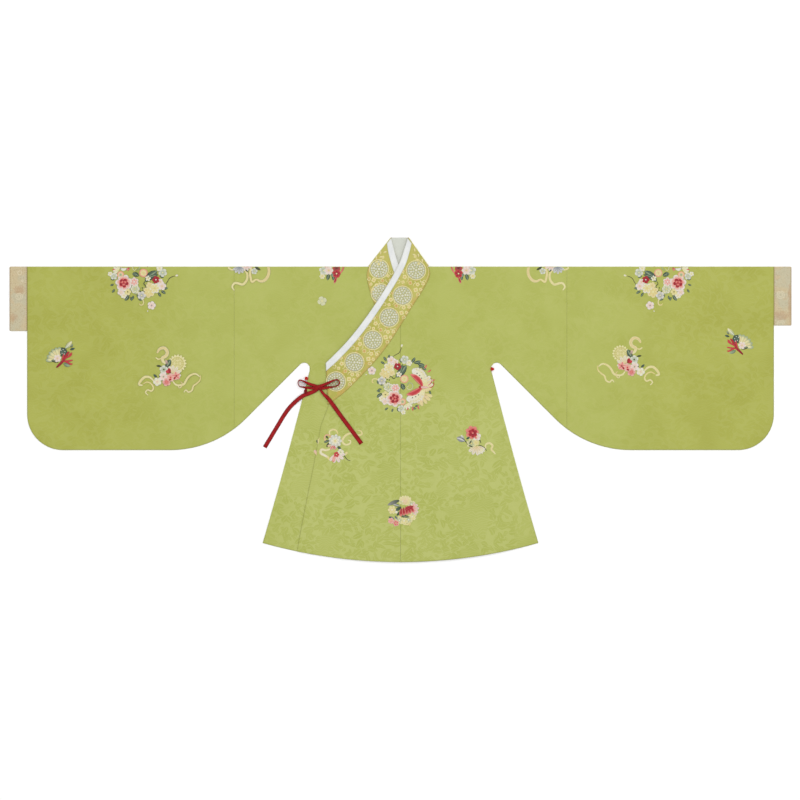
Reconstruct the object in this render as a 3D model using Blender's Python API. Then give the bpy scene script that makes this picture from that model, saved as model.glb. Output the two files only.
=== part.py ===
"""A silk robe with a crossed collar and wide curved sleeves, laid out flat with its front up.

X runs along the sleeves, towards the wearer's left. Y runs from the hem to the neck. Z is up from the
surface that the robe lies on. The origin is the middle of the outline, on that surface.

Every piece of cloth is a wall: a middle surface worked out from the cut, thickened by half the cloth to
each side. Pieces that lie on each other, or are sewn edge to edge, keep a seam's gap between them.
"""
import bmesh
import bpy
import numpy as np

# Thickness of the cloth, the gap between pieces, and the rise from one layer to the next
CLOTH = 0.0011
SEAM = 0.0003
LAYER = CLOTH + SEAM

# Height of each layer's underside where the layers lie on each other in the middle of the body
UNDER_FRONT_AT = 1 * LAYER
UNDER_COLLAR_AT = 2 * LAYER
OUTER_FRONT_AT = 3 * LAYER
OUTER_COLLAR_AT = 4 * LAYER

# The outline: shoulder line, hem, side seams and sleeves
SHOULDER_Y = 0.373
HEM_Y = -0.4544
HEM_CORNER = (0.386, -0.4012)
SIDE_TOP = (0.251, 0.0944)
SLEEVE_SEAM_X = 0.466
SLEEVE_END_X = 1.0458
SLEEVE_LOW_Y = -0.1408
SLEEVE_CORNER_R = 0.100
SLEEVE_CURVE_X = 0.6454
SLEEVE_CURVE_R = 0.300
UNDERARM_R = 0.0162
CUFF_END_X = 1.0948
CUFF_CORNER = 0.003

# Air under the front's cloth above its sewn level, for each half of the robe
HALVES = {
    # half: sign of x, air in the body and in the sleeve, x where one turns into the other, foot of the cuff
    "left": dict(sign=1, body_air=2 * LAYER, sleeve_air=0.0008, ramp=(0.18, 0.40), cuff_y=0.2078),
    "right": dict(sign=-1, body_air=0.0, sleeve_air=0.0008, ramp=(0.30, 0.42), cuff_y=0.1924),
}
# How far from a seam the air has grown to its full height
BODY_REACH = 0.09
SLEEVE_REACH = 0.045

# Edge of each front at the neck, from the centre seam to the point where the shoulder fold starts
NECKLINES = {
    # half: (x, y) pairs, x measured from the centre
    "left": [
        (SEAM / 2, 0.225),
        (0.020, 0.258),
        (0.040, 0.290),
        (0.056, 0.315),
        (0.066, 0.333),
        (0.070, SHOULDER_Y),
    ],
    "right": [
        (SEAM / 2, 0.150),
        (0.020, 0.187),
        (0.040, 0.222),
        (0.060, 0.262),
        (0.074, 0.305),
        (0.080, SHOULDER_Y),
    ],
}
BODY_COLUMNS = [0.110, 0.150, 0.190, 0.230]
ROOT_COLUMNS = [0.310, 0.345, 0.385, 0.425]
SKIRT_ROWS = [1.0, 0.96, 0.88, 0.78, 0.67, 0.56, 0.45, 0.34, 0.23, 0.13, 0.06, 0.03, 0.015, 0.005]
FRONT_ROWS = [0.0, 0.04, 0.10, 0.20, 0.33, 0.47, 0.61, 0.75, 0.88, 1.0]
BACK_ROWS = [1.0, 0.7, 0.4, 0.15, 0.0]
SKIRT_BACK_ROWS = [0.005, 0.015, 0.03, 0.06, 0.13, 0.34, 0.67, 1.0]
FOLD_ANGLES = [45.0, 0.0, -45.0, -90.0]

# Soft ridges that the cloth keeps where it lies a little loose
FOLDS = [
    # (start x, start y, end x, end y, height, half width)
    (0.300, 0.150, 0.430, 0.320, 0.0012, 0.024),
    (0.520, -0.040, 0.730, 0.240, 0.0010, 0.036),
    (0.790, -0.090, 0.960, 0.170, 0.0011, 0.032),
    (0.600, 0.300, 0.900, 0.315, 0.0007, 0.022),
    (0.165, -0.380, 0.130, -0.060, 0.0009, 0.026),
    (0.285, -0.350, 0.232, -0.090, 0.0012, 0.024),
    (0.070, -0.400, 0.065, -0.230, 0.0008, 0.022),
    (-0.310, 0.160, -0.420, 0.320, 0.0012, 0.024),
    (-0.500, -0.030, -0.690, 0.210, 0.0011, 0.036),
    (-0.770, -0.080, -0.985, 0.130, 0.0010, 0.034),
    (-0.640, 0.305, -0.860, 0.300, 0.0007, 0.022),
    (-0.105, -0.390, -0.085, -0.170, 0.0009, 0.024),
    (-0.185, -0.385, -0.160, -0.220, 0.0010, 0.022),
]

# Free edge of the outer overlap, from under the collar down to the hem
OVERLAP_EDGE = [
    # (y, x)
    (0.190, -0.0230),
    (0.147, -0.0530),
    (0.094, -0.0980),
    (0.055, -0.1310),
    (0.020, -0.1720),
    (-0.0030, -0.1980),
    (-0.0148, -0.2032),
    (-0.0680, -0.2234),
    (-0.1968, -0.2470),
    (-0.3004, -0.2677),
    (-0.4251, -0.2905),
]
OVERLAP_SLOPE_X = (-0.060, -0.204)

# Free edge of the under overlap, which lies hidden under the wearer's left front, a little shorter than it
UNDERLAP_SHORTER = 0.006
UNDERLAP_EDGE = [
    # (y, x)
    (0.128, 0.0150),
    (0.085, 0.0520),
    (0.040, 0.0960),
    (0.000, 0.1420),
    (-0.100, 0.1600),
    (-0.300, 0.1850),
    (-0.446, 0.2000),
]

# The collar, one band: the outer arm, the back of the neck, and the under arm
OUTER_ARM = [
    # (seam x, seam y, crease x, crease y), from the cut end up to the side of the neck
    (-0.2038, -0.0148, -0.2094, 0.1025),
    (-0.1500, 0.0270, -0.1850, 0.1262),
    (-0.0840, 0.0941, -0.1480, 0.1650),
    (-0.0400, 0.1470, -0.1080, 0.2148),
    (0.0000, 0.2072, -0.0690, 0.2700),
    (0.0316, 0.2590, -0.0390, 0.3172),
    (0.0610, 0.3050, -0.0170, 0.3555),
    (0.0784, 0.3374, -0.0005, 0.3890),
    (0.0826, 0.3560, 0.0100, 0.4200),
    (0.0790, 0.3757, 0.0232, 0.4544),
]
COLLAR_BACK = (-0.0050, 0.3736, -0.0020, 0.4522)
UNDER_ARM = [
    # (seam x, seam y, crease x, crease y), from the side of the neck down to the hidden end
    (-0.0900, 0.3749, -0.0277, 0.4544),
    (-0.0946, 0.3500, -0.0200, 0.4280),
    (-0.0905, 0.3220, -0.0110, 0.3960),
    (-0.0823, 0.2929, 0.0000, 0.3640),
    (-0.0700, 0.2620, 0.0180, 0.3270),
    (-0.0400, 0.2050, 0.0480, 0.2700),
    (0.0000, 0.1350, 0.0850, 0.1950),
    (0.0500, 0.0720, 0.1200, 0.1350),
    (0.0950, 0.0250, 0.1520, 0.0850),
]
COLLAR_ACROSS = [0.0, 0.30, 0.58, 0.81, 1.0]
GUARD_ACROSS = [0.81, 0.90, 1.0]
UNDER_GUARD_ROWS = 5
LINING = [
    # (y, left x, right x)
    (0.340, -0.030, 0.030),
    (0.372, -0.058, 0.052),
    (0.400, -0.062, 0.052),
    (0.425, -0.044, 0.036),
    (0.4495, -0.024, 0.019),
]

# The tie: a knot with two standing loops and two flat tails of red ribbon
RIBBON = 0.0115
LOOP_WIDTH = 0.0075
KNOT_AT = (-0.2305, 0.0345)
KNOT_HALF = (0.0100, 0.0062, 0.0034)
# A knot's underside is cut off at this share of its half height below its middle
PRESSED = 0.8
LOOPS = {
    # name: (x, y, lowest point, lean from flat in degrees) along the ribbon, out from the knot and back
    "tie_loop_left": [
        (-0.2412, 0.0395, 0.0030, 50),
        (-0.2560, 0.0450, 0.0030, 66),
        (-0.2720, 0.0525, 0.0029, 80),
        (-0.2835, 0.0555, 0.0029, 88),
        (-0.2873, 0.0470, 0.0028, 90),
        (-0.2830, 0.0368, 0.0028, 90),
        (-0.2710, 0.0352, 0.0028, 84),
        (-0.2560, 0.0335, 0.0028, 72),
        (-0.2412, 0.0310, 0.0029, 60),
    ],
    "tie_loop_right": [
        (-0.2195, 0.0310, 0.0056, 60),
        (-0.2030, 0.0345, 0.0057, 74),
        (-0.1860, 0.0360, 0.0057, 84),
        (-0.1745, 0.0405, 0.0057, 90),
        (-0.1705, 0.0485, 0.0057, 90),
        (-0.1765, 0.0565, 0.0057, 90),
        (-0.1890, 0.0535, 0.0057, 84),
        (-0.2040, 0.0465, 0.0057, 70),
        (-0.2195, 0.0400, 0.0056, 56),
    ],
}
TAILS = {
    # name: (x, y, underside, width) along the ribbon from the knot to its cut end
    "tie_tail_left": [
        (-0.2380, 0.0222, 0.0032, 0.0090),
        (-0.2540, 0.0178, 0.0030, RIBBON),
        (-0.2730, 0.0110, 0.0029, RIBBON),
        (-0.2880, 0.0000, 0.0028, RIBBON),
        (-0.2990, -0.0100, 0.0016, RIBBON),
        (-0.3120, -0.0235, 0.0003, RIBBON),
        (-0.3260, -0.0430, 0.0, RIBBON),
        (-0.3460, -0.0760, 0.0, RIBBON),
        (-0.3805, -0.1335, 0.0, RIBBON),
    ],
    "tie_tail_right": [
        (-0.2215, 0.0235, 0.0060, 0.0065),
        (-0.2130, 0.0130, 0.0060, 0.0085),
        (-0.2020, 0.0030, 0.0060, 0.0105),
        (-0.1890, -0.0145, 0.0058, RIBBON),
        (-0.1665, -0.0460, 0.0048, RIBBON),
        (-0.1410, -0.0800, 0.0049, RIBBON),
        (-0.1095, -0.1230, 0.0052, RIBBON),
    ],
}
TACKS = {
    # name: (x, y)
    "side_tack_left": (0.2570, 0.0860),
    "side_tack_right": (-0.2635, 0.0594),
}
TACK_HALF = (0.0056, 0.0050, 0.0024)

# Finish of each kind of cloth: base colour (linear), roughness
FINISHES = {
    "green_silk": ((0.44, 0.47, 0.12), 0.50),
    "collar_brocade": ((0.47, 0.45, 0.19), 0.45),
    "cuff_brocade": ((0.58, 0.51, 0.33), 0.50),
    "white_cloth": ((0.86, 0.87, 0.85), 0.65),
    "red_ribbon": ((0.38, 0.015, 0.030), 0.45),
}


def smooth(value):
    """Rise from 0 to 1 as the value does, level at both ends."""
    held = np.clip(value, 0.0, 1.0)
    return held * held * (3 - 2 * held)


SIDE_SLOPE = (HEM_CORNER[0] - SIDE_TOP[0]) / (SIDE_TOP[1] - HEM_CORNER[1])
HEM_R = (HEM_CORNER[0] ** 2 + (HEM_CORNER[1] - HEM_Y) ** 2) / (2 * (HEM_CORNER[1] - HEM_Y))
CURVE_CENTRE_Y = SLEEVE_LOW_Y + SLEEVE_CURVE_R
# The slanted underside of the sleeve is the line x + y = SLANT, which meets its lower curve at 45 degrees
SLANT_END_X = SLEEVE_CURVE_X - SLEEVE_CURVE_R * np.sqrt(0.5)
SLANT = SLANT_END_X + CURVE_CENTRE_Y - SLEEVE_CURVE_R * np.sqrt(0.5)
# The underarm is an arc that touches the side seam and the slanted underside
SIDE_STEEP = np.sqrt(1 + SIDE_SLOPE**2)
UNDERARM_Y = (
    SLANT - UNDERARM_R * np.sqrt(2) - SIDE_TOP[0] - SIDE_SLOPE * SIDE_TOP[1] - UNDERARM_R * SIDE_STEEP
) / (1 - SIDE_SLOPE)
UNDERARM_X = SLANT - UNDERARM_R * np.sqrt(2) - UNDERARM_Y
UNDERARM_TOP = UNDERARM_Y + UNDERARM_R


def hem_y(x):
    """Height of the hem: one arc, lowest at the centre seam."""
    return HEM_Y + HEM_R - np.sqrt(HEM_R**2 - np.asarray(x) ** 2)


def side_x(y):
    """Distance of the side seam from the centre: a straight flare, then the underarm's arc."""
    y = np.asarray(y, float)
    straight = SIDE_TOP[0] + SIDE_SLOPE * (SIDE_TOP[1] - y)
    arc = UNDERARM_X - np.sqrt(np.clip(UNDERARM_R**2 - (y - UNDERARM_Y) ** 2, 0, None))
    touch = UNDERARM_Y - UNDERARM_R * SIDE_SLOPE / SIDE_STEEP
    return np.where(y > touch, arc, straight)


def sleeve_low_y(x):
    """Underside of the sleeve: underarm arc, slant, wide curve, level stretch, rounded corner."""
    x = np.asarray(x, float)
    corner_x = SLEEVE_END_X - SLEEVE_CORNER_R
    arc = UNDERARM_Y + np.sqrt(np.clip(UNDERARM_R**2 - (x - UNDERARM_X) ** 2, 0, None))
    curve = CURVE_CENTRE_Y - np.sqrt(np.clip(SLEEVE_CURVE_R**2 - (SLEEVE_CURVE_X - x) ** 2, 0, None))
    corner = SLEEVE_LOW_Y + SLEEVE_CORNER_R - np.sqrt(
        np.clip(SLEEVE_CORNER_R**2 - (x - corner_x) ** 2, 0, None)
    )
    return np.select(
        [x < UNDERARM_X + UNDERARM_R * np.sqrt(0.5), x < SLANT_END_X, x < SLEEVE_CURVE_X, x < corner_x],
        [arc, SLANT - x, curve, SLEEVE_LOW_Y],
        corner,
    )


def sewn_edge(cuff_y):
    """The edge where front and back are sewn: side seam, underside of the sleeve, end below the cuff."""
    side = np.linspace(HEM_CORNER[1], UNDERARM_TOP, 30)
    under = UNDERARM_X + (SLEEVE_END_X - UNDERARM_X) * np.sin(np.linspace(0, np.pi / 2, 90))
    x = np.concatenate([side_x(side), under, [SLEEVE_END_X]])
    y = np.concatenate([side, sleeve_low_y(under), [cuff_y]])
    return np.stack([x, y], axis=-1)


def distance(x, y, line):
    """Shortest way from each point to a line of straight pieces."""
    point = np.stack([x, y], axis=-1)[..., None, :]
    start, step = line[:-1], np.diff(line, axis=0)
    along = ((point - start) * step).sum(-1) / np.maximum((step * step).sum(-1), 1e-12)
    nearest = start + np.clip(along, 0, 1)[..., None] * step
    return np.sqrt(((point - nearest) ** 2).sum(-1)).min(-1)


def ridges(x, y):
    """Height of the soft folds: a rounded ridge along each, which fades out at both ends."""
    height = np.zeros(np.broadcast(x, y).shape)
    for x0, y0, x1, y1, rise, half_width in FOLDS:
        run_x, run_y = x1 - x0, y1 - y0
        along = ((x - x0) * run_x + (y - y0) * run_y) / (run_x**2 + run_y**2)
        held = np.clip(along, 0, 1)
        away = np.hypot(x - x0 - held * run_x, y - y0 - held * run_y)
        height += rise * np.exp(-((away / half_width) ** 2)) * smooth(4 * held * (1 - held))
    return height


def front_at(x, y, half):
    """Height of the front's underside: its sewn level, air that grows away from the seams, and ridges."""
    spec = HALVES[half]
    change = smooth((x - spec["ramp"][0]) / (spec["ramp"][1] - spec["ramp"][0]))
    air = spec["body_air"] + (spec["sleeve_air"] - spec["body_air"]) * change
    reach = BODY_REACH + (SLEEVE_REACH - BODY_REACH) * change
    full = smooth(distance(x, y, sewn_edge(spec["cuff_y"])) / reach)
    shown = 1.0 if half == "left" else smooth((x - spec["ramp"][0]) / 0.03)
    return UNDER_FRONT_AT + full * (air + shown * ridges(spec["sign"] * x, y))


def overlap_at(x):
    """Height of the outer overlap's underside: level at the centre seam, then down to the under front."""
    start, end = OVERLAP_SLOPE_X
    down = np.clip((x - start) / (end - start), 0, 1)
    return OUTER_FRONT_AT - LAYER * down


def finish(name):
    """The material of one kind of cloth."""
    material = bpy.data.materials.get(name) or bpy.data.materials.new(name)
    colour, roughness = FINISHES[name]
    material.use_nodes = True
    shader = material.node_tree.nodes["Principled BSDF"]
    shader.inputs["Base Color"].default_value = (*colour, 1.0)
    shader.inputs["Roughness"].default_value = roughness
    shader.inputs["Metallic"].default_value = 0.0
    material.diffuse_color = (*colour, 1.0)
    return material


def add(name, shape, cloth):
    """Put a bmesh into the scene as one named piece, with its faces pointing out."""
    bmesh.ops.recalc_face_normals(shape, faces=shape.faces)
    mesh = bpy.data.meshes.new(name)
    shape.to_mesh(mesh)
    shape.free()
    mesh.shade_smooth()
    mesh.set_sharp_from_angle(angle=np.radians(40))
    piece = bpy.data.objects.new(name, mesh)
    piece.data.materials.append(finish(cloth))
    bpy.context.scene.collection.objects.link(piece)


def wall(name, middle, outward, cloth, cells=None, ring=False):
    """A wall of cloth round a middle surface.

    middle and outward are grids of points and of unit vectors, rows by columns. The outer and inner faces
    lie half the cloth along and against outward. cells says which squares of the grid are cloth. A ring
    joins its last row to its first.
    """
    rows, columns = middle.shape[:2]
    row_cells = rows if ring else rows - 1
    if cells is None:
        cells = np.ones((row_cells, columns - 1), bool)
    shape = bmesh.new()
    faces = [middle + outward * CLOTH / 2, middle - outward * CLOTH / 2]
    made = {}

    def vertex(side, row, column):
        key = (side, row % rows, column)
        if key not in made:
            made[key] = shape.verts.new(faces[side][row % rows, column])
        return made[key]

    def is_cloth(row, column):
        if ring:
            row %= rows
        return 0 <= row < row_cells and 0 <= column < columns - 1 and cells[row, column]

    for row, column in zip(*np.nonzero(cells)):
        corners = [(row, column), (row, column + 1), (row + 1, column + 1), (row + 1, column)]
        shape.faces.new([vertex(0, *corner) for corner in corners])
        shape.faces.new([vertex(1, *corner) for corner in reversed(corners)])
        beside = [(row - 1, column), (row, column + 1), (row + 1, column), (row, column - 1)]
        for (start, end), other in zip(zip(corners, corners[1:] + corners[:1]), beside):
            if not is_cloth(*other):
                shape.faces.new([vertex(0, *end), vertex(0, *start), vertex(1, *start), vertex(1, *end)])
    add(name, shape, cloth)


def flat_rows(x, y, underside):
    """Middle points and outward vectors of cloth that lies face up, its underside at a given height."""
    height = np.broadcast_to(underside + CLOTH / 2, x.shape)
    middle = np.stack([x, y, height], axis=-1)
    outward = np.zeros_like(middle)
    outward[..., 2] = 1.0
    return middle, outward


def half_turn(line, out, low, high, angles):
    """Rows of a fold: a half circle from the upper layer's middle down to the lower one's.

    line holds the points (x, y) of the folded edge, out the direction (x, y) in which it points, and low
    and high the middles of the two layers. Each row is the circle's centre line plus its radius times the
    direction at that angle, so the outermost cloth just reaches the line.
    """
    radius = (high - low) / 2
    centre = line - out * (radius + CLOTH / 2)[..., None]
    middles, outwards = [], []
    for angle in np.radians(angles):
        rise = np.full(radius.shape + (1,), np.sin(angle))
        direction = np.concatenate([out * np.cos(angle), rise], axis=-1)
        at = np.concatenate([centre, ((high + low) / 2)[..., None]], axis=-1)
        middles.append(at + direction * radius[..., None])
        outwards.append(direction)
    return np.array(middles), np.array(outwards)


def shoulder_fold(x, high):
    """Rows of the fold along the shoulder line, where front and back are one cloth."""
    line = np.stack([x, np.full_like(x, SHOULDER_Y)], axis=-1)
    out = np.broadcast_to([0.0, 1.0], line.shape)
    return half_turn(line, out, np.full_like(x, CLOTH / 2), high, FOLD_ANGLES)


def join_rows(parts, sign):
    """One grid from several groups of rows, put on the wearer's left or mirrored to the right."""
    middle = np.concatenate([part[0] for part in parts])
    outward = np.concatenate([part[1] for part in parts])
    mirror = np.array([sign, 1.0, 1.0])
    return middle * mirror, outward * mirror


def body(half):
    """One half of the body with the root of its sleeve: a single cloth from front hem over to back hem."""
    spec = HALVES[half]
    neck_x, neck_y = np.array(NECKLINES[half]).T
    neck = len(neck_x)
    underarm = UNDERARM_X + UNDERARM_R * np.sin(np.radians([0, 15, 30, 45]))
    columns = np.concatenate([neck_x, BODY_COLUMNS, underarm, ROOT_COLUMNS, [SLEEVE_SEAM_X - SEAM / 2]])
    torso = neck + len(BODY_COLUMNS) + 1
    low = np.where(np.arange(len(columns)) < torso, UNDERARM_TOP, sleeve_low_y(columns))

    def skirt(fractions):
        """Columns spread with the flare, rows from the hem's arc up to the underarm."""
        down = np.array(fractions)[:, None]
        seam = side_x(UNDERARM_TOP - down * (UNDERARM_TOP - HEM_CORNER[1]))
        share = (columns - columns[0]) / (UNDERARM_X - columns[0])
        x = columns[0] + np.minimum(share, 1) * (seam - columns[0])
        return x, UNDERARM_TOP - down * (UNDERARM_TOP - hem_y(x))

    shoulder = front_at(columns, np.full_like(columns, SHOULDER_Y), half)
    fold_y = SHOULDER_Y - CLOTH / 2 - shoulder / 2
    front_top, back_top = fold_y.copy(), fold_y.copy()
    front_top[: neck - 1] = neck_y[:-1]
    back_top[: neck - 1] = SHOULDER_Y
    x_skirt, y_skirt = skirt(SKIRT_ROWS)
    y_front = low + np.array(FRONT_ROWS)[:, None] * (front_top - low)
    x_front = np.broadcast_to(columns, y_front.shape)
    height = front_at(x_front, y_front, half)
    height[-1, neck - 1 :] = shoulder[neck - 1 :]
    y_back = low + np.array(BACK_ROWS)[:, None] * (back_top - low)
    x_back = np.broadcast_to(columns, y_back.shape)
    x_tail, y_tail = skirt(SKIRT_BACK_ROWS)
    turned, turned_out = shoulder_fold(columns, shoulder + CLOTH / 2)
    # The fold's last row is the back's first, which at the neck is the plain edge of the back
    back_middle, back_out = flat_rows(x_back, y_back, 0.0)
    tail_middle, tail_out = flat_rows(x_tail, y_tail, 0.0)
    middle, outward = join_rows(
        [
            flat_rows(x_skirt, y_skirt, front_at(x_skirt, y_skirt, half)),
            flat_rows(x_front, y_front, height),
            (turned[:-1], turned_out[:-1]),
            (back_middle, -back_out),
            (tail_middle, -tail_out),
        ],
        spec["sign"],
    )
    skirt_cells = np.arange(len(columns) - 1) < torso - 1
    fold_cells = np.arange(len(columns) - 1) >= neck - 1
    every = np.ones(len(columns) - 1, bool)
    cells = np.array(
        [skirt_cells] * len(SKIRT_ROWS)
        + [every] * (len(FRONT_ROWS) - 1)
        + [fold_cells] * len(FOLD_ANGLES)
        + [every] * (len(BACK_ROWS) - 1)
        + [skirt_cells] * len(SKIRT_BACK_ROWS)
    )
    wall(f"body_{half}", middle, outward, "green_silk", cells)


def sleeve(half):
    """The outer stretch of a sleeve: one cloth, folded at the shoulder line, sewn along its underside."""
    spec = HALVES[half]
    curve = np.linspace(SLEEVE_SEAM_X + SEAM / 2, SLEEVE_CURVE_X, 9)
    level = np.linspace(SLEEVE_CURVE_X, SLEEVE_END_X - SLEEVE_CORNER_R, 8)[1:]
    corner = level[-1] + SLEEVE_CORNER_R * np.sin(np.radians(np.arange(10, 91, 10)))
    columns = np.concatenate([curve, level, corner])
    low = sleeve_low_y(columns)
    shoulder = front_at(columns, np.full_like(columns, SHOULDER_Y), half)
    top = SHOULDER_Y - CLOTH / 2 - shoulder / 2
    y_front = low + np.array(FRONT_ROWS)[:, None] * (top - low)
    x_front = np.broadcast_to(columns, y_front.shape)
    height = front_at(x_front, y_front, half)
    height[-1] = shoulder
    y_back = low + np.array(BACK_ROWS)[:, None] * (top - low)
    back_middle, back_out = flat_rows(np.broadcast_to(columns, y_back.shape), y_back, 0.0)
    turned, turned_out = shoulder_fold(columns, shoulder + CLOTH / 2)
    middle, outward = join_rows(
        [flat_rows(x_front, y_front, height), (turned[:-1], turned_out[:-1]), (back_middle, -back_out)],
        spec["sign"],
    )
    wall(f"sleeve_{half}", middle, outward, "green_silk")


def cuff(half):
    """The brocade band round the sleeve's mouth: a flat tube, folded at its top and foot."""
    spec = HALVES[half]
    x = np.array([SLEEVE_END_X + SEAM, 1.062, 1.078, CUFF_END_X - CUFF_CORNER, CUFF_END_X])
    inset = np.array([0.0, 0.0, 0.0, 0.0, CUFF_CORNER * 0.6])
    top, foot = SHOULDER_Y - inset, spec["cuff_y"] + inset
    high = np.full_like(x, UNDER_FRONT_AT + spec["sleeve_air"] + CLOTH / 2)
    low = np.full_like(x, CLOTH / 2)
    up = np.broadcast_to([0.0, 1.0], (len(x), 2))
    over, over_out = half_turn(np.stack([x, top], axis=-1), up, low, high, [90.0, *FOLD_ANGLES])
    under, under_out = half_turn(np.stack([x, foot], axis=-1), -up, low, high, [90.0, *FOLD_ANGLES])
    share = np.array([0.25, 0.5, 0.75])[:, None, None]
    front = under[:1] + share * (over[:1] - under[:1])
    back = over[-1:] + share * (under[-1:] - over[-1:])
    face = np.zeros_like(front)
    face[..., 2] = 1.0
    middle, outward = join_rows(
        [(front, face), (over, over_out), (back, -face), (under[::-1], under_out[::-1])], spec["sign"]
    )
    wall(f"cuff_{half}", middle, outward, "cuff_brocade", ring=True)


def overlap_outer():
    """The outer overlap, sewn on at the centre seam and closing over the wearer's right front."""
    edge_y, edge_x = np.array(OVERLAP_EDGE).T
    y_edge = np.concatenate([edge_y[:7], np.linspace(edge_y[6], edge_y[-1], 11)[1:]])[:, None]
    x_edge = np.interp(-y_edge, -edge_y, edge_x)
    share = np.array([0.0, 0.06, 0.18, 0.32, 0.46, 0.60, 0.74, 0.88, 1.0])
    x = x_edge + share * (-SEAM / 2 - x_edge)
    down = (edge_y[0] - y_edge) / (edge_y[0] - edge_y[-1])
    y = edge_y[0] - down * (edge_y[0] - hem_y(x))
    loose = smooth(share / 0.3)
    middle, outward = flat_rows(x, y, overlap_at(x) + loose * ridges(x, y))
    wall("overlap_outer", middle, outward, "green_silk")


def overlap_under():
    """The under overlap, sewn to the wearer's right front at the centre seam, flat under the left front."""
    edge_y, edge_x = np.array(UNDERLAP_EDGE).T
    x = SEAM / 2 + edge_x[:, None] * np.array([0.0, 0.33, 0.67, 1.0])
    down = ((edge_y[0] - edge_y) / (edge_y[0] - edge_y[-1]))[:, None]
    y = edge_y[0] - down * (edge_y[0] - hem_y(x) - UNDERLAP_SHORTER)
    middle, outward = flat_rows(x, y, np.full_like(x, UNDER_FRONT_AT))
    wall("overlap_under", middle, outward, "green_silk")


def sections(table, steps=2):
    """Rows along a band from a table of a few, each number following a smooth curve from row to row.

    Between two rows it is the cubic curve that leaves each in the direction from the row before it to the
    row after it.
    """
    rows = np.array(table)
    before = np.concatenate([rows[:1], rows[:-1]])
    after = np.concatenate([rows[1:], rows[-1:]])
    slope = (after - before) / 2
    slope[0] *= 2
    slope[-1] *= 2
    found = []
    for row in range(len(rows) - 1):
        for step in range(steps):
            t = step / steps
            found.append(
                (2 * t**3 - 3 * t**2 + 1) * rows[row]
                + (t**3 - 2 * t**2 + t) * slope[row]
                + (3 * t**2 - 2 * t**3) * rows[row + 1]
                + (t**3 - t**2) * slope[row + 1]
            )
    return np.array([*found, rows[-1]])


def across(rows, shares):
    """Points (x, y) across a band at the given shares of the way from its seam to its crease."""
    share = np.array(shares)[None, :, None]
    return rows[:, None, :2] + share * (rows[:, None, 2:] - rows[:, None, :2])


def outer_arm_at(x):
    """Height of the outer arm's underside: one layer above the overlap that it is sewn to."""
    return overlap_at(x) + LAYER


def fold_direction(row):
    """The way (x, y) that the collar's fold at the side of the neck points, square to the folded edge."""
    run = np.array([row[2] - row[0], row[3] - row[1]])
    out = np.array([run[1], -run[0]]) / np.hypot(*run)
    return out * np.sign(out[0] * row[0])


def arm_before_fold(table, row, high):
    """The arm's own sections, with the one at the fold moved in by the room that the half turn takes."""
    inset = fold_direction(table[row]) * ((high - CLOTH / 2) / 2 + CLOTH / 2)
    moved = [list(entry) for entry in table]
    moved[row] = list(np.array(moved[row]) - np.tile(inset, 2))
    return sections(moved)


def outer_arm():
    return arm_before_fold(OUTER_ARM, -1, OUTER_COLLAR_AT + CLOTH / 2)


def under_arm():
    return arm_before_fold(UNDER_ARM, 0, UNDER_COLLAR_AT + CLOTH / 2)


def collar():
    """The collar band: up the outer arm, round behind the neck, and down the under arm."""
    outer = across(outer_arm(), COLLAR_ACROSS)
    under = across(under_arm(), COLLAR_ACROSS)
    count = len(COLLAR_ACROSS)
    low = np.full(count, CLOTH / 2)
    side = across(np.array([OUTER_ARM[-1], UNDER_ARM[0], COLLAR_BACK]), COLLAR_ACROSS)
    outs = [np.broadcast_to(fold_direction(row), (count, 2)) for row in (OUTER_ARM[-1], UNDER_ARM[0])]
    first = half_turn(side[0], outs[0], low, np.full(count, OUTER_COLLAR_AT + CLOTH / 2), FOLD_ANGLES)
    second = half_turn(side[1], outs[1], low, np.full(count, UNDER_COLLAR_AT + CLOTH / 2), FOLD_ANGLES)
    back = flat_rows(side[2:, :, 0], side[2:, :, 1], 0.0)
    middle, outward = join_rows(
        [
            flat_rows(outer[..., 0], outer[..., 1], outer_arm_at(outer[..., 0])),
            first,
            (back[0], -back[1]),
            (second[0][::-1], second[1][::-1]),
            flat_rows(under[..., 0], under[..., 1], np.full(under.shape[:2], UNDER_COLLAR_AT)),
        ],
        1,
    )
    wall("collar", middle, outward, "collar_brocade")


def guards():
    """The white guard on the collar's crease: one strip on the outer arm, one on the arm below it."""
    outer = across(outer_arm(), GUARD_ACROSS)
    middle, outward = flat_rows(outer[..., 0], outer[..., 1], outer_arm_at(outer[..., 0]) + LAYER)
    wall("guard_outer", middle, outward, "white_cloth")
    under = across(under_arm()[: 2 * UNDER_GUARD_ROWS - 1], GUARD_ACROSS)
    height = np.full(under.shape[:2], UNDER_COLLAR_AT + LAYER)
    middle, outward = flat_rows(under[..., 0], under[..., 1], height)
    wall("guard_under", middle, outward, "white_cloth")


def collar_lining():
    """The plain cloth inside the back of the collar, which shows between its two arms."""
    y, left, right = np.array(LINING).T
    x = left[:, None] + np.linspace(0, 1, 5) * (right - left)[:, None]
    y = np.broadcast_to(y[:, None], x.shape)
    middle, outward = flat_rows(x, y, np.full(x.shape, UNDER_FRONT_AT))
    wall("collar_lining", middle, outward, "white_cloth")


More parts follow.
